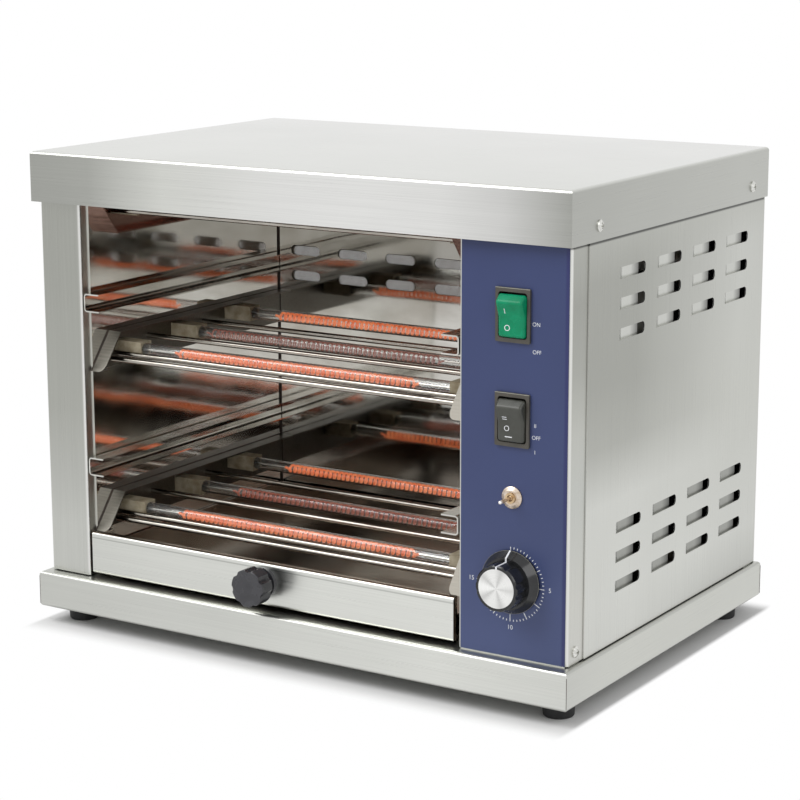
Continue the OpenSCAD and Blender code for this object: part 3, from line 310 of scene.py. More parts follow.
def tray_stainless(tree):
    """One sheet with two faces: brushed along its front, and shiny and heat stained in the pan."""
    low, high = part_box("crumb_tray")
    # Painted light on the tray front: reflection tones along it, a highlight tone on its bends and a line of shade
    # below the hem
    hem_shade = (2, high.z / MM - TRAY_HEM_DROP, 0.7, 0.3)
    level = (0, low.x / MM, high.x / MM, ((0.0, "#CACBC6"), (0.5, "#D4D5D0"), (1.0, "#D8D9D4")))
    look = brushed_stainless(tree, level, "#B9BAB5", "#C9CAC5", LEVEL_GRAIN, (hem_shade,), "#B4B5B0")
    position, (_, depth, _) = object_places(tree)
    inside = add(tree, GREATER_THAN, (depth, low.y + TRAY_SHEET * MM))
    heat = stretched_noise(tree, (60.0, 40.0, 40.0), 3.0, position)
    pan = mottled(tree, heat, "#A69D92", "#84786B")
    shine = add(tree, RANGE, (heat, *NOISE_SPAN, *PAN_ROUGHNESS))
    look["Base Color"] = add(tree, BLEND, (inside, look["Base Color"], pan))
    look["Roughness"] = add(tree, MIX, (inside, look["Roughness"], shine))
    return look


def vented_stainless(tree, front, side, top, creases):
    """Brushed sheet with pressed vents: their sunk tongues take painted shade, darker low on the sheet and towards
    each mouth.
    """
    look = brushed_stainless(tree, front, side, top, UPRIGHT_GRAIN, creases)
    _, (across, back, up) = object_places(tree)
    tongue_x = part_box("lid")[1].x - (LID_REACH + TONGUE_SINK) * MM
    sunk = add(tree, LESS_THAN, (across, tongue_x))
    past = add(tree, SUBTRACT, (back, VENT_FIRST * MM))
    along = add(tree, MODULO, (past, VENT_PITCH * MM))
    # Painted shade: each tongue darkens towards its mouth, and lower tongues are darker
    shade = add(tree, RANGE, (along, VENT_SHADE[0] * MM, VENT_SHADE[1] * MM, *VENT_SHADE_GAIN))
    height = add(tree, RANGE, (up, VENT_HEIGHTS[0] * MM, VENT_HEIGHTS[1] * MM))
    tongue = add(tree, BLEND, (height, linear("#9A9B96"), linear("#C6C7C2")))
    shaded = add(tree, SCALE, (tongue, shade))
    look["Base Color"] = add(tree, BLEND, (sunk, look["Base Color"], shaded))
    return look


def smoked_stainless(tree, *tones):
    """Polished sheet whose outer face, out of sight but for glimpses through the side vents, is painted dark as
    shade.
    """
    look = polished_stainless(tree, *tones)
    _, (across, _, _) = object_places(tree)
    low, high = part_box("right_wall")
    # Painted shade on the outer face, seen through the vent mouths
    outside = add(tree, GREATER_THAN, (across, (low.x + high.x) / 2))
    look["Base Color"] = add(tree, BLEND, (outside, look["Base Color"], linear("#1E1B18")))
    return look


# Other materials

LACQUER_EDGE = (3.0 * MM, 1.6 * MM)
LACQUER_EDGE_SHARE = 0.75
SPECK_SPAN = (0.66, 0.74)
SPECK_SHARE = 0.5
# Reach of the painted highlight at the toggle lever's tip
TIP_HIGHLIGHT_REACH = (1.0 * MM, 3.0 * MM)
FAN_LOBES = 5
FAN_SPAN = (0.1, 0.9)
FAN_GAIN = (0.74, 1.0)


def drawn_steel(tree, light, dark, roughness):
    """Bright drawn or plated steel: smooth, with faint draw lines and a little dulling.

    The lines are drawn 1.4 mm wide, coarser than real ones, so that they show.
    """
    line = stretched_noise(tree, (24.0, 1.4, 1.4), 3.0)
    return {
        "Base Color": mottled(tree, line, dark, light),
        "Metallic": 1.0,
        "Roughness": add(tree, RANGE, (line, *NOISE_SPAN, *roughness)),
    }


def blue_lacquer(tree):
    """Screen printed blue lacquer on steel: even colour, darker along its right edge, with a satin gloss."""
    low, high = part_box("control_fascia")
    _, (across, _, up) = object_places(tree)
    height = add(tree, RANGE, (up, low.z, high.z))
    field = add(tree, RAMP, (height,), stops=((0.0, "#48537B"), (0.35, "#3A456E"), (1.0, "#323D67")))
    inner, outer = [high.x - reach for reach in LACQUER_EDGE]
    edge = add(tree, RANGE, (across, inner, outer, 0.0, LACQUER_EDGE_SHARE))
    toned = add(tree, BLEND, (edge, field, linear("#26295E")))
    cloud = stretched_noise(tree, (60.0, 60.0, 110.0))
    gain = add(tree, RANGE, (cloud, *NOISE_SPAN, 0.95, 1.05))
    peel = stretched_noise(tree, (1.2, 1.2, 1.2))
    return {
        "Base Color": add(tree, SCALE, (toned, gain)),
        "Specular IOR Level": 0.4,
        "Roughness": add(tree, RANGE, (peel, *NOISE_SPAN, 0.34, 0.44)),
        "Normal": add(tree, BUMP, {"Strength": 0.08, "Distance": 0.1 * MM, "Height": peel}),
    }


def quartz_glass(tree):
    """Clear drawn quartz: hardly tinted, smooth, with faint draw lines along the tube.

    The lines are drawn 1.2 mm wide, coarser than real ones, so that they show.
    """
    line = stretched_noise(tree, (60.0, 1.2, 1.2))
    return {
        "Base Color": mottled(tree, line, "#F3F6F6", "#FFFFFF"),
        "Transmission Weight": 0.97,
        "IOR": 1.46,
        "Roughness": add(tree, RANGE, (line, *NOISE_SPAN, 0.02, 0.1)),
    }


def heated_wire(tree, core, edge, scale_tone, strength):
    """Oxidised resistance wire: dull scale that glows, with hotter and cooler patches along the winding."""
    patch = stretched_noise(tree, (9.0, 5.0, 5.0))
    scale = stretched_noise(tree, (1.0, 1.0, 1.0))
    return {
        "Base Color": mottled(tree, scale, scale_tone, edge),
        "Metallic": 0.3,
        "Roughness": 0.55,
        "Emission Color": mottled(tree, patch, edge, core),
        "Emission Strength": strength,
    }


def steatite(tree):
    """Pressed and fired steatite: dry beige body with dark specks and a sooty tinge."""
    soot = stretched_noise(tree, (7.0, 7.0, 7.0), 3.0)
    speck = stretched_noise(tree, (0.6, 0.6, 0.6), 1.0)
    dotted = add(tree, RANGE, (speck, *SPECK_SPAN, 0.0, SPECK_SHARE))
    body = mottled(tree, soot, "#BDB39C", "#8E8168")
    return {
        "Base Color": add(tree, BLEND, (dotted, body, linear("#6E5F49"))),
        "Specular IOR Level": 0.35,
        "Roughness": add(tree, RANGE, (speck, *NOISE_SPAN, 0.6, 0.8)),
        "Normal": add(tree, BUMP, {"Strength": 0.2, "Distance": 0.15 * MM, "Height": speck}),
    }


def turned_brass(tree):
    """Turned brass: warm metal that a thin brown tarnish darkens and dulls in patches."""
    tarnish = stretched_noise(tree, (4.0, 4.0, 4.0), 3.0)
    return {
        "Base Color": mottled(tree, tarnish, "#DCC6A6", "#B8976A"),
        "Metallic": 1.0,
        "Roughness": add(tree, RANGE, (tarnish, *NOISE_SPAN, 0.2, 0.36)),
    }


def rubbed_brass(tree):
    """Turned brass lever that has lost its shine, with a painted highlight on its tip."""
    tarnish = stretched_noise(tree, (3.0, 3.0, 3.0), 3.0)
    _, (_, depth, _) = object_places(tree)
    start, end = [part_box("toggle_lever")[0].y + reach for reach in TIP_HIGHLIGHT_REACH]
    # Painted highlight on the lever's tip
    tip_highlight = add(tree, RANGE, (depth, start, end, 1.0, 0.0))
    body = mottled(tree, tarnish, "#E0C8A6", "#C0A078")
    return {
        "Base Color": add(tree, BLEND, (tip_highlight, body, linear("#FBF4EE"))),
        "Metallic": 0.6,
        "Roughness": add(tree, RANGE, (tarnish, *NOISE_SPAN, 0.3, 0.45)),
    }


def moulded_plastic(tree, light, dark, roughness, grain_mm=0.9, bump=0.05):
    """Moulded plastic: one even colour, a mould texture and slightly uneven gloss.

    The texture is drawn about 1 mm wide, coarser than a real one, so that it shows.
    """
    cloud = stretched_noise(tree, (9.0, 9.0, 9.0), 3.0)
    grain = stretched_noise(tree, (grain_mm, grain_mm, grain_mm))
    return {
        "Base Color": mottled(tree, cloud, dark, light),
        "Roughness": add(tree, RANGE, (cloud, *NOISE_SPAN, *roughness)),
        "Normal": add(tree, BUMP, {"Strength": bump, "Distance": 0.1 * MM, "Height": grain}),
    }


def translucent_plastic(tree, *details):
    """Moulded plastic with clear dye: light goes a little way in, which softens and deepens the colour."""
    look = moulded_plastic(tree, *details)
    look["Specular IOR Level"] = 0.2
    look["Subsurface Weight"] = 0.1
    look["Subsurface Radius"] = (1.0 * MM, 2.0 * MM, 1.2 * MM)
    return look


def spun_aluminium(tree, middle):
    """Spun aluminium: rings of tool marks round the middle draw its highlights round it, and a fan of highlight
    and shade is painted into its colour by angle.

    The rings are drawn 0.7 mm wide, coarser than real ones, so that they show.
    """
    position = add(tree, COORDINATES).outputs["Object"]
    shift = add(tree, VECTOR_SUBTRACT, (position, tuple(middle)))
    upright = add(tree, VECTOR_MULTIPLY, (shift, (1.0, 0.0, 1.0)))
    radius = add(tree, LENGTH, (upright,))
    rings = stretched_noise(tree, (0.7, 0.7, 0.7), 2.0, add(tree, COMBINE, (radius,)))
    parts = add(tree, SEPARATE, (upright,)).outputs
    # Painted highlight and shade: the colour brightens and darkens in lobes round the middle
    angle = add(tree, ARCTAN2, (parts["Z"], parts["X"]))
    lobes = add(tree, MULTIPLY, (angle, FAN_LOBES / 2))
    swing = add(tree, SINE, (lobes,))
    fan = add(tree, ABSOLUTE, (swing,))
    gain = add(tree, RANGE, (fan, *FAN_SPAN, *FAN_GAIN))
    ringed = mottled(tree, rings, "#E4E4E2", "#F4F4F2")
    around = add(tree, CROSS_PRODUCT, (upright, (0.0, 1.0, 0.0)))
    return {
        "Base Color": add(tree, SCALE, (ringed, gain)),
        "Metallic": 1.0,
        "Anisotropic": 0.85,
        "Roughness": add(tree, RANGE, (rings, *NOISE_SPAN, 0.26, 0.34)),
        "Tangent": add(tree, NORMALIZE, (around,)),
    }


def white_print(tree):
    """Screen printed white ink: flat, a little thin in places."""
    thin = stretched_noise(tree, (1.5, 1.5, 1.5))
    return {"Base Color": mottled(tree, thin, "#F2F3F4", "#DADDE4"), "Roughness": 0.55}


# Finish of every piece

INK = surface("screen_printed_white_ink", white_print)
HOT_WIRE = surface("glowing_resistance_wire", heated_wire, "#F29664", "#D26238", "#8A4632", 0.72)
DIM_WIRE = surface("dimly_glowing_resistance_wire", heated_wire, "#C06A50", "#8A4434", "#7A4436", 0.45)
DULL_WIRE = surface("dull_resistance_wire", heated_wire, "#B07060", "#844C40", "#9A6E62", 0.42)
LEAD_PIN = surface("drawn_nickel_pin", drawn_steel, "#F0EDE7", "#CFCBC2", (0.12, 0.22))

# Soot is as dull and even as a coarse moulding, and a painted highlight on an edge is a moulding that shines
SOOT = surface("baked_soot", moulded_plastic, "#4A3E36", "#2E2622", (0.6, 0.8), 2.0, 0.2)
EDGE_HIGHLIGHT = surface("painted_edge_highlight", moulded_plastic, "#A9A79B", "#8E8C80", (0.3, 0.4))

# Folded steel keeps its draw lines: dulled by use, reddened by a painted reflection of the glowing coils as well
# as its own smooth reflection of them, or woven as wire
BRACKET_STEEL = surface("satin_folded_steel", drawn_steel, "#74716A", "#625F59", (0.36, 0.46))
COIL_GLOW_TINT = surface("coil_reflection_tinted_steel", drawn_steel, "#A4867C", "#8A6A60", (0.12, 0.22))
GAUZE_STEEL = surface("dulled_steel_wire", drawn_steel, "#8E867A", "#80786C", (0.4, 0.5))

SWITCH_BLACK = surface("moulded_switch_nylon", moulded_plastic, "#504C45", "#423F38", (0.34, 0.46))
CAP_LOW, CAP_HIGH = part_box("timer_knob_cap")

# Tones of the sheets, painted reflection and shade that stand in for the light each face gets: an axis, the two
# places on it in mm, and stops between them
COVER_SPAN = (38.0, 306.0)
LID_WIDTH = (-213.5, 213.5)
LID_DEPTH = (-147.0, 145.0)
PLINTH_WIDTH = (-215.0, 215.0)
PLINTH_DEPTH = (-151.0, 149.0)
COVER_TURN = (-55.0, 105.0)
STEEL = "#C2C3BE"
POLISH = ("#D6D5D0", "#BAB8B2", "#ABA298")
# Painted shadow lines: a dark band on the sheets just under the lid's skirt, and one on the strip beside the side
# cover's front edge
UNDER_LID_SHADOW = (2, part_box("lid")[0].z / MM - 1.0, 1.5, 0.8)
STRIP_EDGE_SHADOW = (1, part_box("right_cover")[0].y / MM, 0.9, 0.6)
LID_FRONT = (0, *LID_WIDTH, (
    (0.0, "#9FA09B"), (0.12, "#A4A5A0"), (0.27, "#CFD0CB"), (0.5, "#DCDCDA"), (0.65, "#DFDFDD"),
    (0.78, "#DBDBD9"), (0.89, "#CBCBC9"), (1.0, "#A2A39E"),
))
LID_SIDE = (1, *LID_DEPTH, ((0.0, "#ADAEA9"), (1.0, "#B9BAB5")))
LID_TOP = (1, *LID_DEPTH, ((0.0, "#D3D4D0"), (1.0, "#DADAD8")))
PLINTH_FRONT = (0, *PLINTH_WIDTH, ((0.0, "#C1C2BD"), (0.4, "#CACBC6"), (0.78, "#D6D7D2"), (1.0, "#CDCEC9")))
PLINTH_SIDE = (1, *PLINTH_DEPTH, ((0.0, "#C1C2BD"), (0.2, "#C6C7C1"), (1.0, "#C6C7C1")))
PILLAR_FRONT = (2, *COVER_SPAN, (
    (0.0, "#C0C1BC"), (0.14, "#BFC0BB"), (0.28, "#B4B5B0"), (0.45, "#A8A9A3"), (1.0, "#A1A29C"),
))
PANEL_SIDE = (2, *COVER_SPAN, (
    (0.0, "#C7C7C2"), (0.15, "#C9C9C3"), (0.4, "#C0C2BD"), (0.56, "#BCBDB7"), (0.7, "#A9AAA4"),
    (0.86, "#9FA09A"), (1.0, "#AAABA5"),
))
COVER_FRONT = (2, *COVER_SPAN, (
    (0.0, "#C9CAC5"), (0.12, "#CECFCA"), (0.36, "#CECFCA"), (0.5, "#ADAEA8"), (0.65, "#A3A49E"),
    (0.9, "#A3A49E"), (1.0, "#B0B1AB"),
))
COVER_BACK = (2, *COVER_SPAN, (
    (0.0, "#B7B8B3"), (0.12, "#C9CAC5"), (0.5, "#C4C5BF"), (0.9, "#C2C3BE"), (1.0, "#B9BAB4"),
))
COVER_SIDE = (1, *COVER_TURN, COVER_FRONT, COVER_BACK)
# Painted dark reflection of the lid's inside across the top of the back wall
BACK_WALL_TOP_SHADE = (190.0, 245.0, "#7F7C74")

OWN_FINISH = {
    "lid": surface(
        "brushed_stainless_lid", brushed_stainless, LID_FRONT, LID_SIDE, LID_TOP, LEVEL_GRAIN,
        bend="#C9CAC5"),
    "base_tray": surface(
        "brushed_stainless_plinth", brushed_stainless, PLINTH_FRONT, PLINTH_SIDE, "#BFC0BA", LEVEL_GRAIN,
        bend="#ADAEA9"),
    "left_cover": surface(
        "brushed_stainless_pillar", brushed_stainless, PILLAR_FRONT, STEEL, STEEL, UPRIGHT_GRAIN),
    "control_panel": surface(
        "brushed_stainless_panel", brushed_stainless, STEEL, PANEL_SIDE, STEEL, UPRIGHT_GRAIN,
        (UNDER_LID_SHADOW, STRIP_EDGE_SHADOW)),
    # The side cover's forward-facing front edge takes a pale painted highlight tone
    "right_cover": surface(
        "brushed_stainless_side", vented_stainless, "#EFEFEC", COVER_SIDE, STEEL, (UNDER_LID_SHADOW,)),
    "right_wall": surface("smoked_stainless", smoked_stainless, "#F0EFEC", "#E2E1DD", "#D2CEC8"),
    "back_wall": surface("reflection_darkened_stainless", polished_stainless, *POLISH, BACK_WALL_TOP_SHADE),
    "left_wall": surface("bright_polished_stainless", polished_stainless, "#F0EFEC", "#E0DFDA", "#CFCAC2"),
    "crumb_tray": surface("brushed_stainless_tray", tray_stainless),
    "main_switch_housing": SWITCH_BLACK,
    "deck_switch_housing": SWITCH_BLACK,
    "deck_rocker": surface("moulded_rocker_nylon", moulded_plastic, "#44453F", "#3A3B35", (0.3, 0.4)),
    "timer_knob": surface("polished_phenolic", moulded_plastic, "#242527", "#17181A", (0.1, 0.18)),
    "toggle_nut": surface("worn_nickel_on_brass", drawn_steel, "#DDD0C4", "#B9A48C", (0.25, 0.4)),
    "toggle_lever": surface("rubbed_brass", rubbed_brass),
    "tray_knob": surface("moulded_phenolic", moulded_plastic, "#3E3E42", "#2F2F33", (0.22, 0.32)),
}
for bracket_side in SIDES:
    OWN_FINISH[f"bracket_bottom_{bracket_side}"] = BRACKET_STEEL
    OWN_FINISH[f"bracket_middle_{bracket_side}"] = BRACKET_STEEL
    OWN_FINISH[f"bracket_top_{bracket_side}"] = COIL_GLOW_TINT
MATERIALS = {
    "brushed_stainless": surface(
        "brushed_stainless_sheet", brushed_stainless, STEEL, STEEL, STEEL, UPRIGHT_GRAIN),
    "polished_stainless": surface("polished_stainless", polished_stainless, *POLISH),
    "bright_rod": surface("bright_drawn_steel", drawn_steel, "#B8B4AC", "#928C84", (0.1, 0.2)),
    "blue_lacquer": surface("screen_printed_blue_lacquer", blue_lacquer),
    "zinc_screw": surface("bright_zinc_plate", drawn_steel, "#E6E6E2", "#C4C4BF", (0.18, 0.3)),
    "black_rubber": surface("moulded_rubber", moulded_plastic, "#1E1E20", "#141415", (0.55, 0.7), 1.2, 0.15),
    "quartz_glass": surface("drawn_quartz_glass", quartz_glass),
    "hot_wire": HOT_WIRE,
    "steatite": surface("fired_steatite", steatite),
    "brass": surface("turned_brass", turned_brass),
    "black_plastic": surface("moulded_thermoset", moulded_plastic, "#232325", "#151517", (0.26, 0.38)),
    "green_plastic": surface(
        "translucent_green_polycarbonate", translucent_plastic, "#0B9468", "#077E55", (0.22, 0.3), 1.5, 0.02),
    "nickel": surface("nickel_plate", drawn_steel, "#F2EEE6", "#CFC7B8", (0.1, 0.2)),
    "spun_aluminium": surface("spun_aluminium", spun_aluminium, (CAP_LOW + CAP_HIGH) / 2),
}
for node_name, node_object in NODES.items():
    node_object.data.materials.clear()
    node_object.data.materials.append(OWN_FINISH.get(node_name, MATERIALS[SLOTS[node_name]]))


# Meshes

FLOAT, INT, VECTOR = "NodeSocketFloat", "NodeSocketInt", "NodeSocketVector"
MATERIAL = "NodeSocketMaterial"


def new_tree(name, inputs):
    """A geometry tree with named inputs, and the sockets that carry them inside it."""
    tree = bpy.data.node_groups.new(name, "GeometryNodeTree")
    for label, kind in inputs.items():
        tree.interface.new_socket(name=label, in_out="INPUT", socket_type=kind)
    tree.interface.new_socket(name="Geometry", in_out="OUTPUT", socket_type="NodeSocketGeometry")
    return tree, add(tree, "NodeGroupInput").outputs


def plain_mesh(name, maker, place):
    """Mesh of an object as its modifiers or its lettering give it, put in its place; the object goes."""
    bpy.context.view_layer.update()
    mesh = bpy.data.meshes.new_from_object(maker.evaluated_get(bpy.context.evaluated_depsgraph_get()))
    mesh.name = name
    mesh.transform(place)
    bpy.data.objects.remove(maker)
    return mesh


def grow(name, tree, values, place):
    """Runs a geometry tree with the given inputs and returns its result as a plain mesh."""
    maker = put(name + "_maker", bpy.data.meshes.new(name + "_maker"))
    modifier = maker.modifiers.new("shape", "NODES")
    modifier.node_group = tree
    for item in tree.interface.items_tree:
        if item.in_out == "INPUT":
            modifier[item.identifier] = values[item.name]
    return plain_mesh(name, maker, place)


def show(name, mesh, body):
    """Puts a finished mesh into the scene as a piece that rides on a CAD body."""
    piece = put(name, mesh)
    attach(piece, body)
    return piece


def trim(name, parts, material, body="case"):
    """Shows thin solids as one piece."""
    show(name, prisms(name, parts, material), body)


def join_meshes(name, meshes):
    """One mesh from several, keeping their materials."""
    whole, materials = bmesh.new(), []
    for mesh in meshes:
        start = len(whole.faces)
        whole.from_mesh(mesh)
        whole.faces.ensure_lookup_table()
        materials += [material for material in mesh.materials if material not in materials]
        for face in whole.faces[start:]:
            face.material_index = materials.index(mesh.materials[face.material_index])
    joined = bpy.data.meshes.new(name)
    whole.to_mesh(joined)
    whole.free()
    for material in materials:
        joined.materials.append(material)
    return joined


def prisms(name, parts, material):
    """Mesh of thin solids, each a flat outline and its copy moved by an offset."""
    points, faces = [], []
    for corners, offset in parts:
        start, count = len(points), len(corners)
        points += corners + [corner + offset for corner in corners]
        faces.append(tuple(start + i for i in range(count)))
        faces.append(tuple(start + 2 * count - 1 - i for i in range(count)))
        for i in range(count):
            j = (i + 1) % count
            faces.append((start + i, start + count + i, start + count + j, start + j))
    mesh = bpy.data.meshes.new(name)
    mesh.from_pydata(points, [], faces)
    turned = bmesh.new()
    turned.from_mesh(mesh)
    bmesh.ops.recalc_face_normals(turned, faces=turned.faces)
    turned.to_mesh(mesh)
    turned.free()
    mesh.materials.append(material)
    return mesh


# Heating coils with their full winding

COIL_TURNS = 48
COIL_LENGTH = 192 * MM
COIL_OUTSIDE = 6.8 * MM
COIL_PIN = 2.2 * MM
COIL_STEPS = 16
LEAD_STEPS = 8
WIRE_SIDES = 8
TUBE_GROUP = 12 * MM

# Glow and wire of a coil; a lit wire is drawn thicker, because its glow widens it
HOT_COIL = (HOT_WIRE, 1.9 * MM)
DIM_COIL = (DIM_WIRE, 1.4 * MM)
DULL_COIL = (DULL_WIRE, 1.2 * MM)

# Slide of each coil along its tube, and its glow
COILS = {
    "bottom": ((0.0, HOT_COIL), (0.0, DIM_COIL), (0.0, HOT_COIL)),
    "middle": ((0.0, HOT_COIL), (-21.0 * MM, DULL_COIL), (-7.0 * MM, HOT_COIL)),
    "top": ((0.0, HOT_COIL), (0.0, HOT_COIL), (0.0, HOT_COIL)),
}


def coil_tree():
    """One coil on its axis: a helix whose wire bends in to the axis at both ends, and straight pins."""
    tree, given = new_tree("wound_coil", {
        "Turns": INT, "Winding Length": FLOAT, "Turn Radius": FLOAT, "Wire Radius": FLOAT,
        "Pin Radius": FLOAT, "Left Lead": FLOAT, "Right Lead": FLOAT, "Winding": MATERIAL, "Lead": MATERIAL,
    })
    radius = given["Turn Radius"]
    helix = add(tree, "GeometryNodeCurveSpiral", {
        "Resolution": COIL_STEPS, "Rotations": given["Turns"], "Start Radius": radius, "End Radius": radius,
        "Height": given["Winding Length"],
    })
    half = add(tree, MULTIPLY, (given["Winding Length"], 0.5))
    start = add(tree, MULTIPLY, (half, -1.0))
    laid = add(tree, MOVE, {
        "Geometry": helix, "Translation": add(tree, COMBINE, (start,)), "Rotation": (0.0, math.pi / 2, 0.0),
    })
    low = add(tree, MULTIPLY, (radius, -1.0))
    double = add(tree, MULTIPLY, (radius, 2.0))
    bends, pins = [], []
    for side, lead in ((-1.0, given["Left Lead"]), (1.0, given["Right Lead"])):
        foot = add(tree, MULTIPLY, (half, side))
        places = []
        for reach in (radius, double, lead):
            past = add(tree, ADD, (half, reach))
            places.append(add(tree, COMBINE, (add(tree, MULTIPLY, (past, side)),)))
        bend, turned, end = places
        bends.append(add(tree, "GeometryNodeCurveQuadraticBezier", {
            "Resolution": LEAD_STEPS, "Start": add(tree, COMBINE, (foot, 0.0, low)), "Middle": bend,
            "End": turned,
        }))
        pins.append(add(tree, LINE, {"Start": turned, "End": end}))
    parts = []
    for curve, thickness, material in (
        (laid, "Wire Radius", "Winding"),
        (add(tree, JOIN, {0: bends}), "Wire Radius", "Winding"),
        (add(tree, JOIN, {0: pins}), "Pin Radius", "Lead"),
    ):
        ring = add(tree, CIRCLE, {"Resolution": WIRE_SIDES, "Radius": given[thickness]})
        swept = add(tree, SWEEP, {"Curve": curve, "Profile Curve": ring, "Fill Caps": True})
        smooth = add(tree, "GeometryNodeSetShadeSmooth", (swept,))
        real = add(tree, REALIZE, (smooth,))
        parts.append(add(tree, SET_MATERIAL, {"Geometry": real, "Material": given[material]}))
    add(tree, OUTPUT, (add(tree, JOIN, {0: parts}),))
    return tree


def tube_axes(level):
    """Middle point of each tube of a set, and the tubes' half length, read from the tubes' own vertices."""
    rows = {}
    for vertex in NODES[f"quartz_tubes_{level}"].data.vertices:
        rows.setdefault(round(vertex.co.y / TUBE_GROUP), []).append(vertex.co)
    groups = []
    for key in sorted(rows):
        if groups and key - groups[-1][0] <= 1:
            groups[-1] = (key, groups[-1][1] + rows[key])
        else:
            groups.append((key, rows[key]))
    axes = []
    for _, points in groups:
        low, high = (Vector(pick(point[i] for point in points) for i in range(3)) for pick in (min, max))
        axes.append(((low + high) / 2, (high.x - low.x) / 2))
    return axes


def wind_coils():
    tree = coil_tree()
    for level in LEVELS:
        meshes = []
        for (middle, reach), (slide, (glow, thick)) in zip(tube_axes(level), COILS[level]):
            spare = reach - COIL_LENGTH / 2
            meshes.append(grow(f"winding_{level}_{len(meshes)}", tree, {
                "Turns": COIL_TURNS, "Winding Length": COIL_LENGTH, "Turn Radius": (COIL_OUTSIDE - thick) / 2,
                "Wire Radius": thick / 2, "Pin Radius": COIL_PIN / 2, "Left Lead": spare + slide,
                "Right Lead": spare - slide, "Winding": glow, "Lead": LEAD_PIN,
            }, Matrix.Translation(middle + Vector((slide, 0.0, 0.0)))))
        name = f"winding_{level}"
        piece = show(name, join_meshes(name, meshes), "case")
        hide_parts(f"heating_coils_{level}")


wind_coils()


# Sooty seams in the back corners of the chamber and along the brackets

SEAM_REACH = 1.5 * MM
SEAM_STEPS = 4
BRACKET_SLANT = 20.5 * MM
BRACKET_SEAM = (1.0 * MM, 0.1 * MM)


def fill_corner(name, x, side):
    """Bead with a hollow face that fills an upright corner between the back wall and a side wall."""
    low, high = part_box("back_wall")
    outline = [Vector((x, low.y, low.z))]
    for step in range(SEAM_STEPS + 1):
        angle = math.pi / 2 * step / SEAM_STEPS
        outline.append(Vector((
            x + side * SEAM_REACH * (1 - math.sin(angle)), low.y - SEAM_REACH * (1 - math.cos(angle)), low.z,
        )))
    trim(name, [(outline, Vector((0.0, 0.0, high.z - low.z)))], SOOT)


def line_bracket(level, side):
    """Dark line where a bracket meets the wall, up its slanted flange and along its top."""
    low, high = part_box(f"bracket_{level}_{side}")
    wide, thick = BRACKET_SEAM
    wall, inner = (low.x, low.x + wide) if side == "left" else (high.x, high.x - wide)
    bend = low.y + BRACKET_SLANT
    across = Vector((0.0, low.z - high.z, BRACKET_SLANT)).normalized() * thick
    slope = [Vector(corner) for corner in (
        (wall, low.y, low.z), (inner, low.y, low.z), (inner, bend, high.z), (wall, bend, high.z),
    )]
    run = [Vector((x, y, high.z)) for x, y in ((wall, bend), (inner, bend), (inner, high.y), (wall, high.y))]
    trim(f"bracket_seam_{level}_{side}", [(slope, across), (run, Vector((0.0, 0.0, thick)))], SOOT)


fill_corner("corner_seam_left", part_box("left_wall")[1].x, 1)
fill_corner("corner_seam_right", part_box("right_wall")[0].x, -1)
for seam_level in ("bottom", "middle"):
    for seam_side in SIDES:
        line_bracket(seam_level, seam_side)


# Woven wire gauze behind the slots of the back wall

GAUZE_SPACING = 0.8 * MM
GAUZE_WIRE = 0.46 * MM
GAUZE_SIDES = 4
GAUZE_SPAN = ((-167 * MM, 128 * MM), (216 * MM, 254 * MM))


def gauze_tree():
    """Two layers of straight wires, one upright and one level, at an even spacing."""
    tree, given = new_tree("vent_gauze", {
        "Width": FLOAT, "Height": FLOAT, "Spacing": FLOAT, "Wire Radius": FLOAT, "Steel": MATERIAL,
    })
    width, height, spacing, radius = [given[name] for name in ("Width", "Height", "Spacing", "Wire Radius")]
    layers = []
    for across, step, start, end in (
        (width, (spacing, 0.0, 0.0), (0.0, radius, 0.0), (0.0, radius, height)),
        (height, (0.0, 0.0, spacing), (0.0, 0.0, 0.0), (width, 0.0, 0.0)),
    ):
        gaps = add(tree, DIVIDE, (across, spacing))
        count = add(tree, ADD, (gaps, 1.0))
        row = add(tree, "GeometryNodeMeshLine", {"Count": count, "Offset": add(tree, COMBINE, step)})
        line = add(tree, LINE, {"Start": add(tree, COMBINE, start), "End": add(tree, COMBINE, end)})
        ring = add(tree, CIRCLE, {"Resolution": GAUZE_SIDES, "Radius": radius})
        strand = add(tree, SWEEP, {"Curve": line, "Profile Curve": ring, "Fill Caps": True})
        layers.append(add(tree, COPY, {"Points": row, "Instance": strand}))
    real = add(tree, REALIZE, (add(tree, JOIN, {0: layers}),))
    add(tree, OUTPUT, (add(tree, SET_MATERIAL, {"Geometry": real, "Material": given["Steel"]}),))
    return tree


def hang_gauze():
    (left, right), (bottom, top) = GAUZE_SPAN
    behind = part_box("back_wall")[1].y + GAUZE_WIRE
    mesh = grow("vent_gauze", gauze_tree(), {
        "Width": right - left, "Height": top - bottom, "Spacing": GAUZE_SPACING,
        "Wire Radius": GAUZE_WIRE / 2, "Steel": GAUZE_STEEL,
    }, Matrix.Translation((left, behind, bottom)))
    show("vent_gauze", mesh, "case")


hang_gauze()


# Edges of the sheets

EDGE_WIDE = 0.8 * MM
EDGE_DEEP = 0.4 * MM
EDGE_SET_BACK = 0.1 * MM
CORNER_LINE = 0.45 * MM
CORNER_FOOT = 2 * MM
CORNER_SHORT = 6 * MM


def edge_fascia():
    """Bare steel edges that show left of the blue front and below it."""
    low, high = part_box("control_fascia")
    below = low.z - EDGE_WIDE
    front = low.y + EDGE_SET_BACK
    left = [(low.x - EDGE_WIDE, low.z), (low.x, low.z), (low.x, high.z), (low.x - EDGE_WIDE, high.z)]
    under = [(low.x, below), (high.x, below), (high.x, low.z), (low.x, low.z)]
    inwards = Vector((0.0, EDGE_DEEP, 0.0))
    parts = [([Vector((x, front, z)) for x, z in outline], inwards) for outline in (left, under)]
    trim("fascia_edges", parts, MATERIALS["brushed_stainless"])


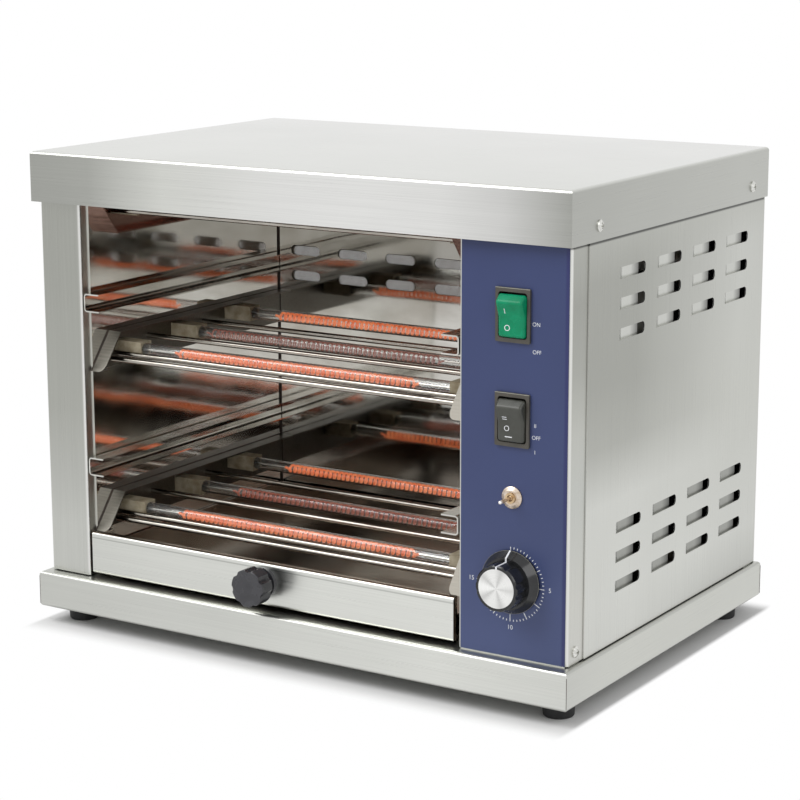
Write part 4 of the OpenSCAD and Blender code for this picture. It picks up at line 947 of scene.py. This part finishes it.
def line_plinth():
    """Fine dark joints up the corners of the plinth, where its sides were folded together."""
    low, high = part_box("base_tray")
    rise = Vector((0.0, 0.0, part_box("control_fascia")[0].z - low.z - CORNER_SHORT))
    half = CORNER_LINE / 2
    parts = []
    for x, y in ((low.x, low.y), (high.x, low.y), (high.x, high.y), (low.x, high.y)):
        foot = Vector((x, y, low.z + CORNER_FOOT))
        corners = [foot + Vector((i * half, j * half, 0.0)) for i, j in ((-1, 0), (0, -1), (1, 0), (0, 1))]
        parts.append((corners, rise))
    trim("plinth_joints", parts, SOOT)


edge_fascia()
line_plinth()


# Print on the control front

INK_THICKNESS = 0.06 * MM
LETTER_THINNING = 0.02 * MM
WORD_HEIGHT = 3.6 * MM
FACE_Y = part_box("control_fascia")[0].y
FACING_FRONT = Matrix.Rotation(math.pi / 2, 4, "X")

# Words beside a switch, with their places right of its pivot and below it in mm
WORDS = (
    ("main", "on", "ON", 16.0, 4.7),
    ("main", "off", "OFF", 16.6, 22.1),
    ("deck", "both", "II", 15.8, 2.4),
    ("deck", "off", "OFF", 16.6, 10.0),
    ("deck", "one", "I", 15.8, 19.3),
)


def printed_word(name, body, words, height, place):
    """Lettering as a thin solid; place turns and moves it from the XY plane, where it faces +Z."""
    curve = bpy.data.curves.new(name, "FONT")
    curve.body = words
    curve.size = height
    curve.align_x = "CENTER"
    curve.align_y = "CENTER"
    curve.extrude = INK_THICKNESS / 2
    curve.offset = -LETTER_THINNING
    mesh = plain_mesh(name, put(name + "_maker", curve), place)
    mesh.materials.clear()
    mesh.materials.append(INK)
    show(name, mesh, body)


def on_fascia(x, z):
    """Place of lettering on the control front."""
    return Matrix.Translation((x, FACE_Y - INK_THICKNESS / 2, z)) @ FACING_FRONT


def print_words():
    for switch, state, words, right, below in WORDS:
        x, _, z = JOINTS[f"{switch}_rocker_hinge"]["pos_m"]
        place = on_fascia(x + right * MM, z - below * MM)
        printed_word(f"{switch}_word_{state}", "case", words, WORD_HEIGHT, place)


# Timer dial: minutes run clockwise from the top

DIAL_MINUTES = 15
DIAL_NUMBERS = (5, 10, 15)
DIAL_SWEEP = math.radians(270)
DIAL_TICKS = 46
DIAL_EVERY = 5
DIAL_SHIFT = (-1.0 * MM, -2.0 * MM)
TICK_RADIUS = 24.6 * MM
TICK_SIZE = (0.55 * MM, INK_THICKNESS, 1.3 * MM)
LONG_TICK = 3.6
NUMBER_RADIUS = 28.6 * MM
NUMBER_HEIGHT = 4.2 * MM


def dial_tree():
    """Ticks that run inwards from an arc, with a longer one at every whole step."""
    tree, given = new_tree("dial_ticks", {
        "Count": INT, "Every": INT, "Sweep": FLOAT, "Radius": FLOAT, "Tick Size": VECTOR, "Long Scale": FLOAT,
        "Ink": MATERIAL,
    })
    index = add(tree, "GeometryNodeInputIndex")
    gaps = add(tree, SUBTRACT, (given["Count"], 1.0))
    swept = add(tree, MULTIPLY, (index, given["Sweep"]))
    angle = add(tree, DIVIDE, (swept, gaps))
    x, z = [
        add(tree, MULTIPLY, (add(tree, part, (angle,)), given["Radius"]))
        for part in (SINE, COSINE)
    ]
    arc = add(tree, COMBINE, (x, 0.0, z))
    points = add(tree, "GeometryNodePoints", {"Count": given["Count"], "Position": arc})
    tick = add(tree, "GeometryNodeMeshCube", {"Size": given["Tick Size"]})
    length = add(tree, SEPARATE, (given["Tick Size"],)).outputs["Z"]
    drop = add(tree, MULTIPLY, (length, -0.5))
    hung = add(tree, MOVE, {"Geometry": tick, "Translation": add(tree, COMBINE, (0.0, 0.0, drop))})
    step = add(tree, MODULO, (index, given["Every"]))
    is_long = add(tree, LESS_THAN, (step, 0.5))
    longer = add(tree, MIX, (is_long, 1.0, given["Long Scale"]))
    copies = add(tree, COPY, {
        "Points": points, "Instance": hung, "Rotation": add(tree, COMBINE, (0.0, angle)),
        "Scale": add(tree, COMBINE, (1.0, 1.0, longer)),
    })
    real = add(tree, REALIZE, (copies,))
    add(tree, OUTPUT, (add(tree, SET_MATERIAL, {"Geometry": real, "Material": given["Ink"]}),))
    return tree


def print_dial():
    x, _, z = JOINTS["timer_turn"]["pos_m"]
    x, z = x + DIAL_SHIFT[0], z + DIAL_SHIFT[1]
    ticks = grow("dial_ticks", dial_tree(), {
        "Count": DIAL_TICKS, "Every": DIAL_EVERY, "Sweep": DIAL_SWEEP, "Radius": TICK_RADIUS,
        "Tick Size": TICK_SIZE, "Long Scale": LONG_TICK, "Ink": INK,
    }, Matrix.Translation((x, FACE_Y - INK_THICKNESS / 2, z)))
    show("dial_ticks", ticks, "case")
    for minutes in DIAL_NUMBERS:
        angle = DIAL_SWEEP * minutes / DIAL_MINUTES
        place = on_fascia(x + NUMBER_RADIUS * math.sin(angle), z + NUMBER_RADIUS * math.cos(angle))
        printed_word(f"dial_number_{minutes}", "case", str(minutes), NUMBER_HEIGHT, place)


# Lines on the timer knob

POINTER_HALF = 0.6 * MM
POINTER_THICK = 2 * INK_THICKNESS
RIM_STEPS = 72
RIM_LINE = 0.45 * MM
RIM_THICK = 3 * INK_THICKNESS
KNOB_CONE_RADIUS = 17.0 * MM
KNOB_FLUTE_RADIUS = 14.4 * MM
KNOB_RIM = 1.2 * MM
KNOB_CONE = 5.5 * MM


def print_pointer():
    """White line from the rim of the timer knob's skirt up its cone, along the grip and over to the cap."""
    x, _, z = JOINTS["timer_turn"]["pos_m"]
    low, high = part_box("timer_knob")
    cone_y = high.y - KNOB_RIM - KNOB_CONE
    path = [
        (high.y - KNOB_RIM, (high.x - low.x) / 2), (cone_y, KNOB_CONE_RADIUS), (cone_y, KNOB_FLUTE_RADIUS),
        (low.y, KNOB_FLUTE_RADIUS), (low.y, (CAP_HIGH.x - CAP_LOW.x) / 2),
    ]
    parts = []
    for (y0, r0), (y1, r1) in zip(path, path[1:]):
        length = math.hypot(y1 - y0, r1 - r0)
        outward = Vector((0.0, r1 - r0, y0 - y1)) * (POINTER_THICK / length)
        corners = [
            Vector((x + side * POINTER_HALF, y, z + r))
            for side, y, r in ((-1, y0, r0), (1, y0, r0), (1, y1, r1), (-1, y1, r1))
        ]
        parts.append((corners, outward))
    trim("knob_pointer", parts, INK, "timer_knob")


def line_knob_rim():
    """Thin painted highlight round the rim of the timer knob's skirt."""
    x, _, z = JOINTS["timer_turn"]["pos_m"]
    low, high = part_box("timer_knob")
    rim = (high.x - low.x) / 2
    around = [math.tau * i / RIM_STEPS for i in range(RIM_STEPS + 1)]
    parts = []
    for first, second in zip(around, around[1:]):
        corners = [
            Vector((x + r * math.cos(turn), high.y - KNOB_RIM, z + r * math.sin(turn)))
            for r, turn in ((rim - RIM_LINE, first), (rim, first), (rim, second), (rim - RIM_LINE, second))
        ]
        parts.append((corners, Vector((0.0, -RIM_THICK, 0.0))))
    trim("knob_rim_highlight", parts, EDGE_HIGHLIGHT, "timer_knob")


# Rocker switches

ROCKER_TILT = math.radians(11)
ROCKER_WAIST = 5.4 * MM
ROCKER_RIDGE = (7.5 * MM, 10.5 * MM)
ROCKER_SLOPE = math.atan2(ROCKER_RIDGE[0] - ROCKER_WAIST, ROCKER_RIDGE[1])
ROCKER_LOW_RIDGE = 12.6 * MM
ROCKER_HALF_WIDTH = 10.0 * MM
ROCKER_END = (1.0 * MM, 14.2 * MM)
ROCKER_BACK = (4.0 * MM, 10.0 * MM)
ROCKER_DRAFT = 0.07
ROCKER_SOFTNESS = 1.9 * MM
ROCKER_SOFT_STEPS = 5
ROCKER_SHARP = math.radians(30)
GLOSS_LINE = 0.4 * MM

# Marks on a rocker, with their height, their place across it and their place along it from the pivot in mm
ROCKER_MARKS = (
    ("main", "on", "I", 5.2, -3.6, 4.0),
    ("main", "off", "O", 5.4, -2.6, -6.8),
    ("deck", "both", "=", 7.0, -3.5, 2.3),
    ("deck", "off", "O", 5.0, -2.4, -4.2),
    ("deck", "one", "–", 10.0, -1.1, -8.8),
)


def rocker_frame(joint):
    """Place and tilt of a rocker at rest."""
    return Matrix.Translation(Vector(joint["pos_m"])) @ Matrix.Rotation(ROCKER_TILT, 4, "X")


def print_rocker_marks():
    """Marks that lie on the sloped faces of the rockers."""
    for switch, state, sign, height, across, along in ROCKER_MARKS:
        joint = JOINTS[f"{switch}_rocker_hinge"]
        rise = along * MM
        out = ROCKER_WAIST + abs(rise) * math.tan(ROCKER_SLOPE) + INK_THICKNESS / 2
        slope = Matrix.Rotation(math.copysign(ROCKER_SLOPE, rise), 4, "X")
        place = rocker_frame(joint) @ Matrix.Translation((across * MM, -out, rise)) @ slope
        printed_word(f"{switch}_mark_{state}", joint["child"], sign, height * MM, place @ FACING_FRONT)


def mould_rocker(node_name, material):
    """Rocker with soft edges and drafted sides, whose lower end reaches the rim of its well."""
    lower_out = ROCKER_WAIST + ROCKER_LOW_RIDGE * math.tan(ROCKER_SLOPE)
    profile = [
        (-ROCKER_END[0], ROCKER_END[1]), (-ROCKER_RIDGE[0], ROCKER_RIDGE[1]), (-ROCKER_WAIST, 0.0),
        (-lower_out, -ROCKER_LOW_RIDGE), (-ROCKER_END[0], -ROCKER_END[1]), (ROCKER_BACK[0], -ROCKER_BACK[1]),
        (ROCKER_BACK[0], ROCKER_BACK[1]),
    ]
    corners = [Vector((-ROCKER_HALF_WIDTH, y, z)) for y, z in profile]
    name = node_name + "_moulding"
    mesh = prisms(name, [(corners, Vector((2 * ROCKER_HALF_WIDTH, 0.0, 0.0)))], material)
    for vertex in mesh.vertices:
        vertex.co.x *= 1.0 - ROCKER_DRAFT * max(-vertex.co.y, 0.0) / ROCKER_RIDGE[0]
    mesh.polygons.foreach_set("use_smooth", [True] * len(mesh.polygons))
    maker = put(name + "_maker", mesh)
    bevel = maker.modifiers.new("soft_edges", "BEVEL")
    bevel.width = ROCKER_SOFTNESS
    bevel.segments = ROCKER_SOFT_STEPS
    bevel.limit_method = "ANGLE"
    bevel.angle_limit = ROCKER_SHARP
    maker.modifiers.new("flat_faces", "WEIGHTED_NORMAL")
    joint = JOINTS[node_name + "_hinge"]
    piece = show(name, plain_mesh(name, maker, rocker_frame(joint)), joint["child"])
    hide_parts(node_name)


def line_bezel(name, node_name):
    """Thin painted highlight along the top front edge of a switch bezel."""
    low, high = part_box(node_name)
    corners = [
        Vector((x, low.y - INK_THICKNESS, high.z - drop))
        for x, drop in ((low.x, GLOSS_LINE), (high.x, GLOSS_LINE), (high.x, 0.0), (low.x, 0.0))
    ]
    trim(name, [(corners, Vector((0.0, 2 * INK_THICKNESS, 0.0)))], EDGE_HIGHLIGHT)


print_dial()
print_pointer()
line_knob_rim()
print_rocker_marks()
mould_rocker("main_rocker", MATERIALS["green_plastic"])
mould_rocker("deck_rocker", OWN_FINISH["deck_rocker"])
line_bezel("main_bezel_highlight", "main_switch_housing")
line_bezel("deck_bezel_highlight", "deck_switch_housing")
print_words()


# Stage and light

FLOOR_HALF = 15.0
FLOOR_TONE = "#E6E6E6"
WHITE = linear("#FFFFFF")
SHADOW_REACH = (5 * MM, 21 * MM)
AMBIENT = 0.55


def background_rays(tree):
    """1 for rays that should see the plain white background: camera, glossy and transmission rays."""
    path = add(tree, "ShaderNodeLightPath").outputs
    seen = add(tree, MAXIMUM, (path["Is Camera Ray"], path["Is Glossy Ray"]))
    return add(tree, MAXIMUM, (seen, path["Is Transmission Ray"]))


def make_floor():
    """Pale matt floor that keeps the shadow round the object and turns white further out."""
    material = bpy.data.materials.new("pale_floor")
    material.use_nodes = True
    tree = material.node_tree
    tree.nodes.clear()
    low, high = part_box("base_tray")
    _, places = object_places(tree)
    away = []
    for axis, reach in enumerate(SHADOW_REACH):
        middle, half = (low[axis] + high[axis]) / 2, (high[axis] - low[axis]) / 2
        offset = add(tree, SUBTRACT, (places[axis], middle))
        distance = add(tree, ABSOLUTE, (offset,))
        past = add(tree, SUBTRACT, (distance, half))
        outside = add(tree, MAXIMUM, (past, 0.0))
        away.append(add(tree, DIVIDE, (outside, reach)))
    far = add(tree, LENGTH, (add(tree, COMBINE, tuple(away)),))
    fade = add(tree, RANGE, (far,), interpolation_type="SMOOTHSTEP")
    white = add(tree, MULTIPLY, (background_rays(tree), fade))
    matt = add(tree, "ShaderNodeBsdfDiffuse", {"Color": linear(FLOOR_TONE)})
    glow = add(tree, "ShaderNodeEmission", {"Color": WHITE, "Strength": 1.0})
    both = add(tree, "ShaderNodeMixShader", (white, matt, glow))
    add(tree, "ShaderNodeOutputMaterial", {"Surface": both})
    mesh = bpy.data.meshes.new("floor")
    corners = [(x * FLOOR_HALF, y * FLOOR_HALF, 0.0) for x, y in ((-1, -1), (1, -1), (1, 1), (-1, 1))]
    mesh.from_pydata(corners, [], [(0, 1, 2, 3)])
    mesh.materials.append(material)
    floor = put("floor", mesh)


def make_world():
    """White where the background is seen, and a weaker light on the object."""
    world = bpy.data.worlds.new("studio")
    bpy.context.scene.world = world
    world.use_nodes = True
    tree = world.node_tree
    tree.nodes.clear()
    strength = add(tree, RANGE, (background_rays(tree), 0.0, 1.0, AMBIENT, 1.0))
    background = add(tree, "ShaderNodeBackground", {"Color": WHITE, "Strength": strength})
    add(tree, "ShaderNodeOutputWorld", {"Surface": background})


def soft_light(name, place, target, size, power):
    """Square lamp at a place in metres, turned to its target."""
    data = bpy.data.lights.new(name, "AREA")
    data.shape = "SQUARE"
    data.size = size
    data.energy = power
    lamp = put(name, data)
    lamp.location = place
    lamp.rotation_euler = (Vector(target) - Vector(place)).to_track_quat("-Z", "Y").to_euler()


make_floor()
make_world()
soft_light("key_softbox", place=(-1.1, -1.3, 2.0), target=(0.0, 0.0, 0.1), size=1.6, power=36.0)
soft_light("fill_softbox", place=(1.9, -0.9, 1.5), target=(0.0, 0.0, 0.15), size=1.4, power=12.0)
bpy.context.scene.view_settings.view_transform = "Standard"
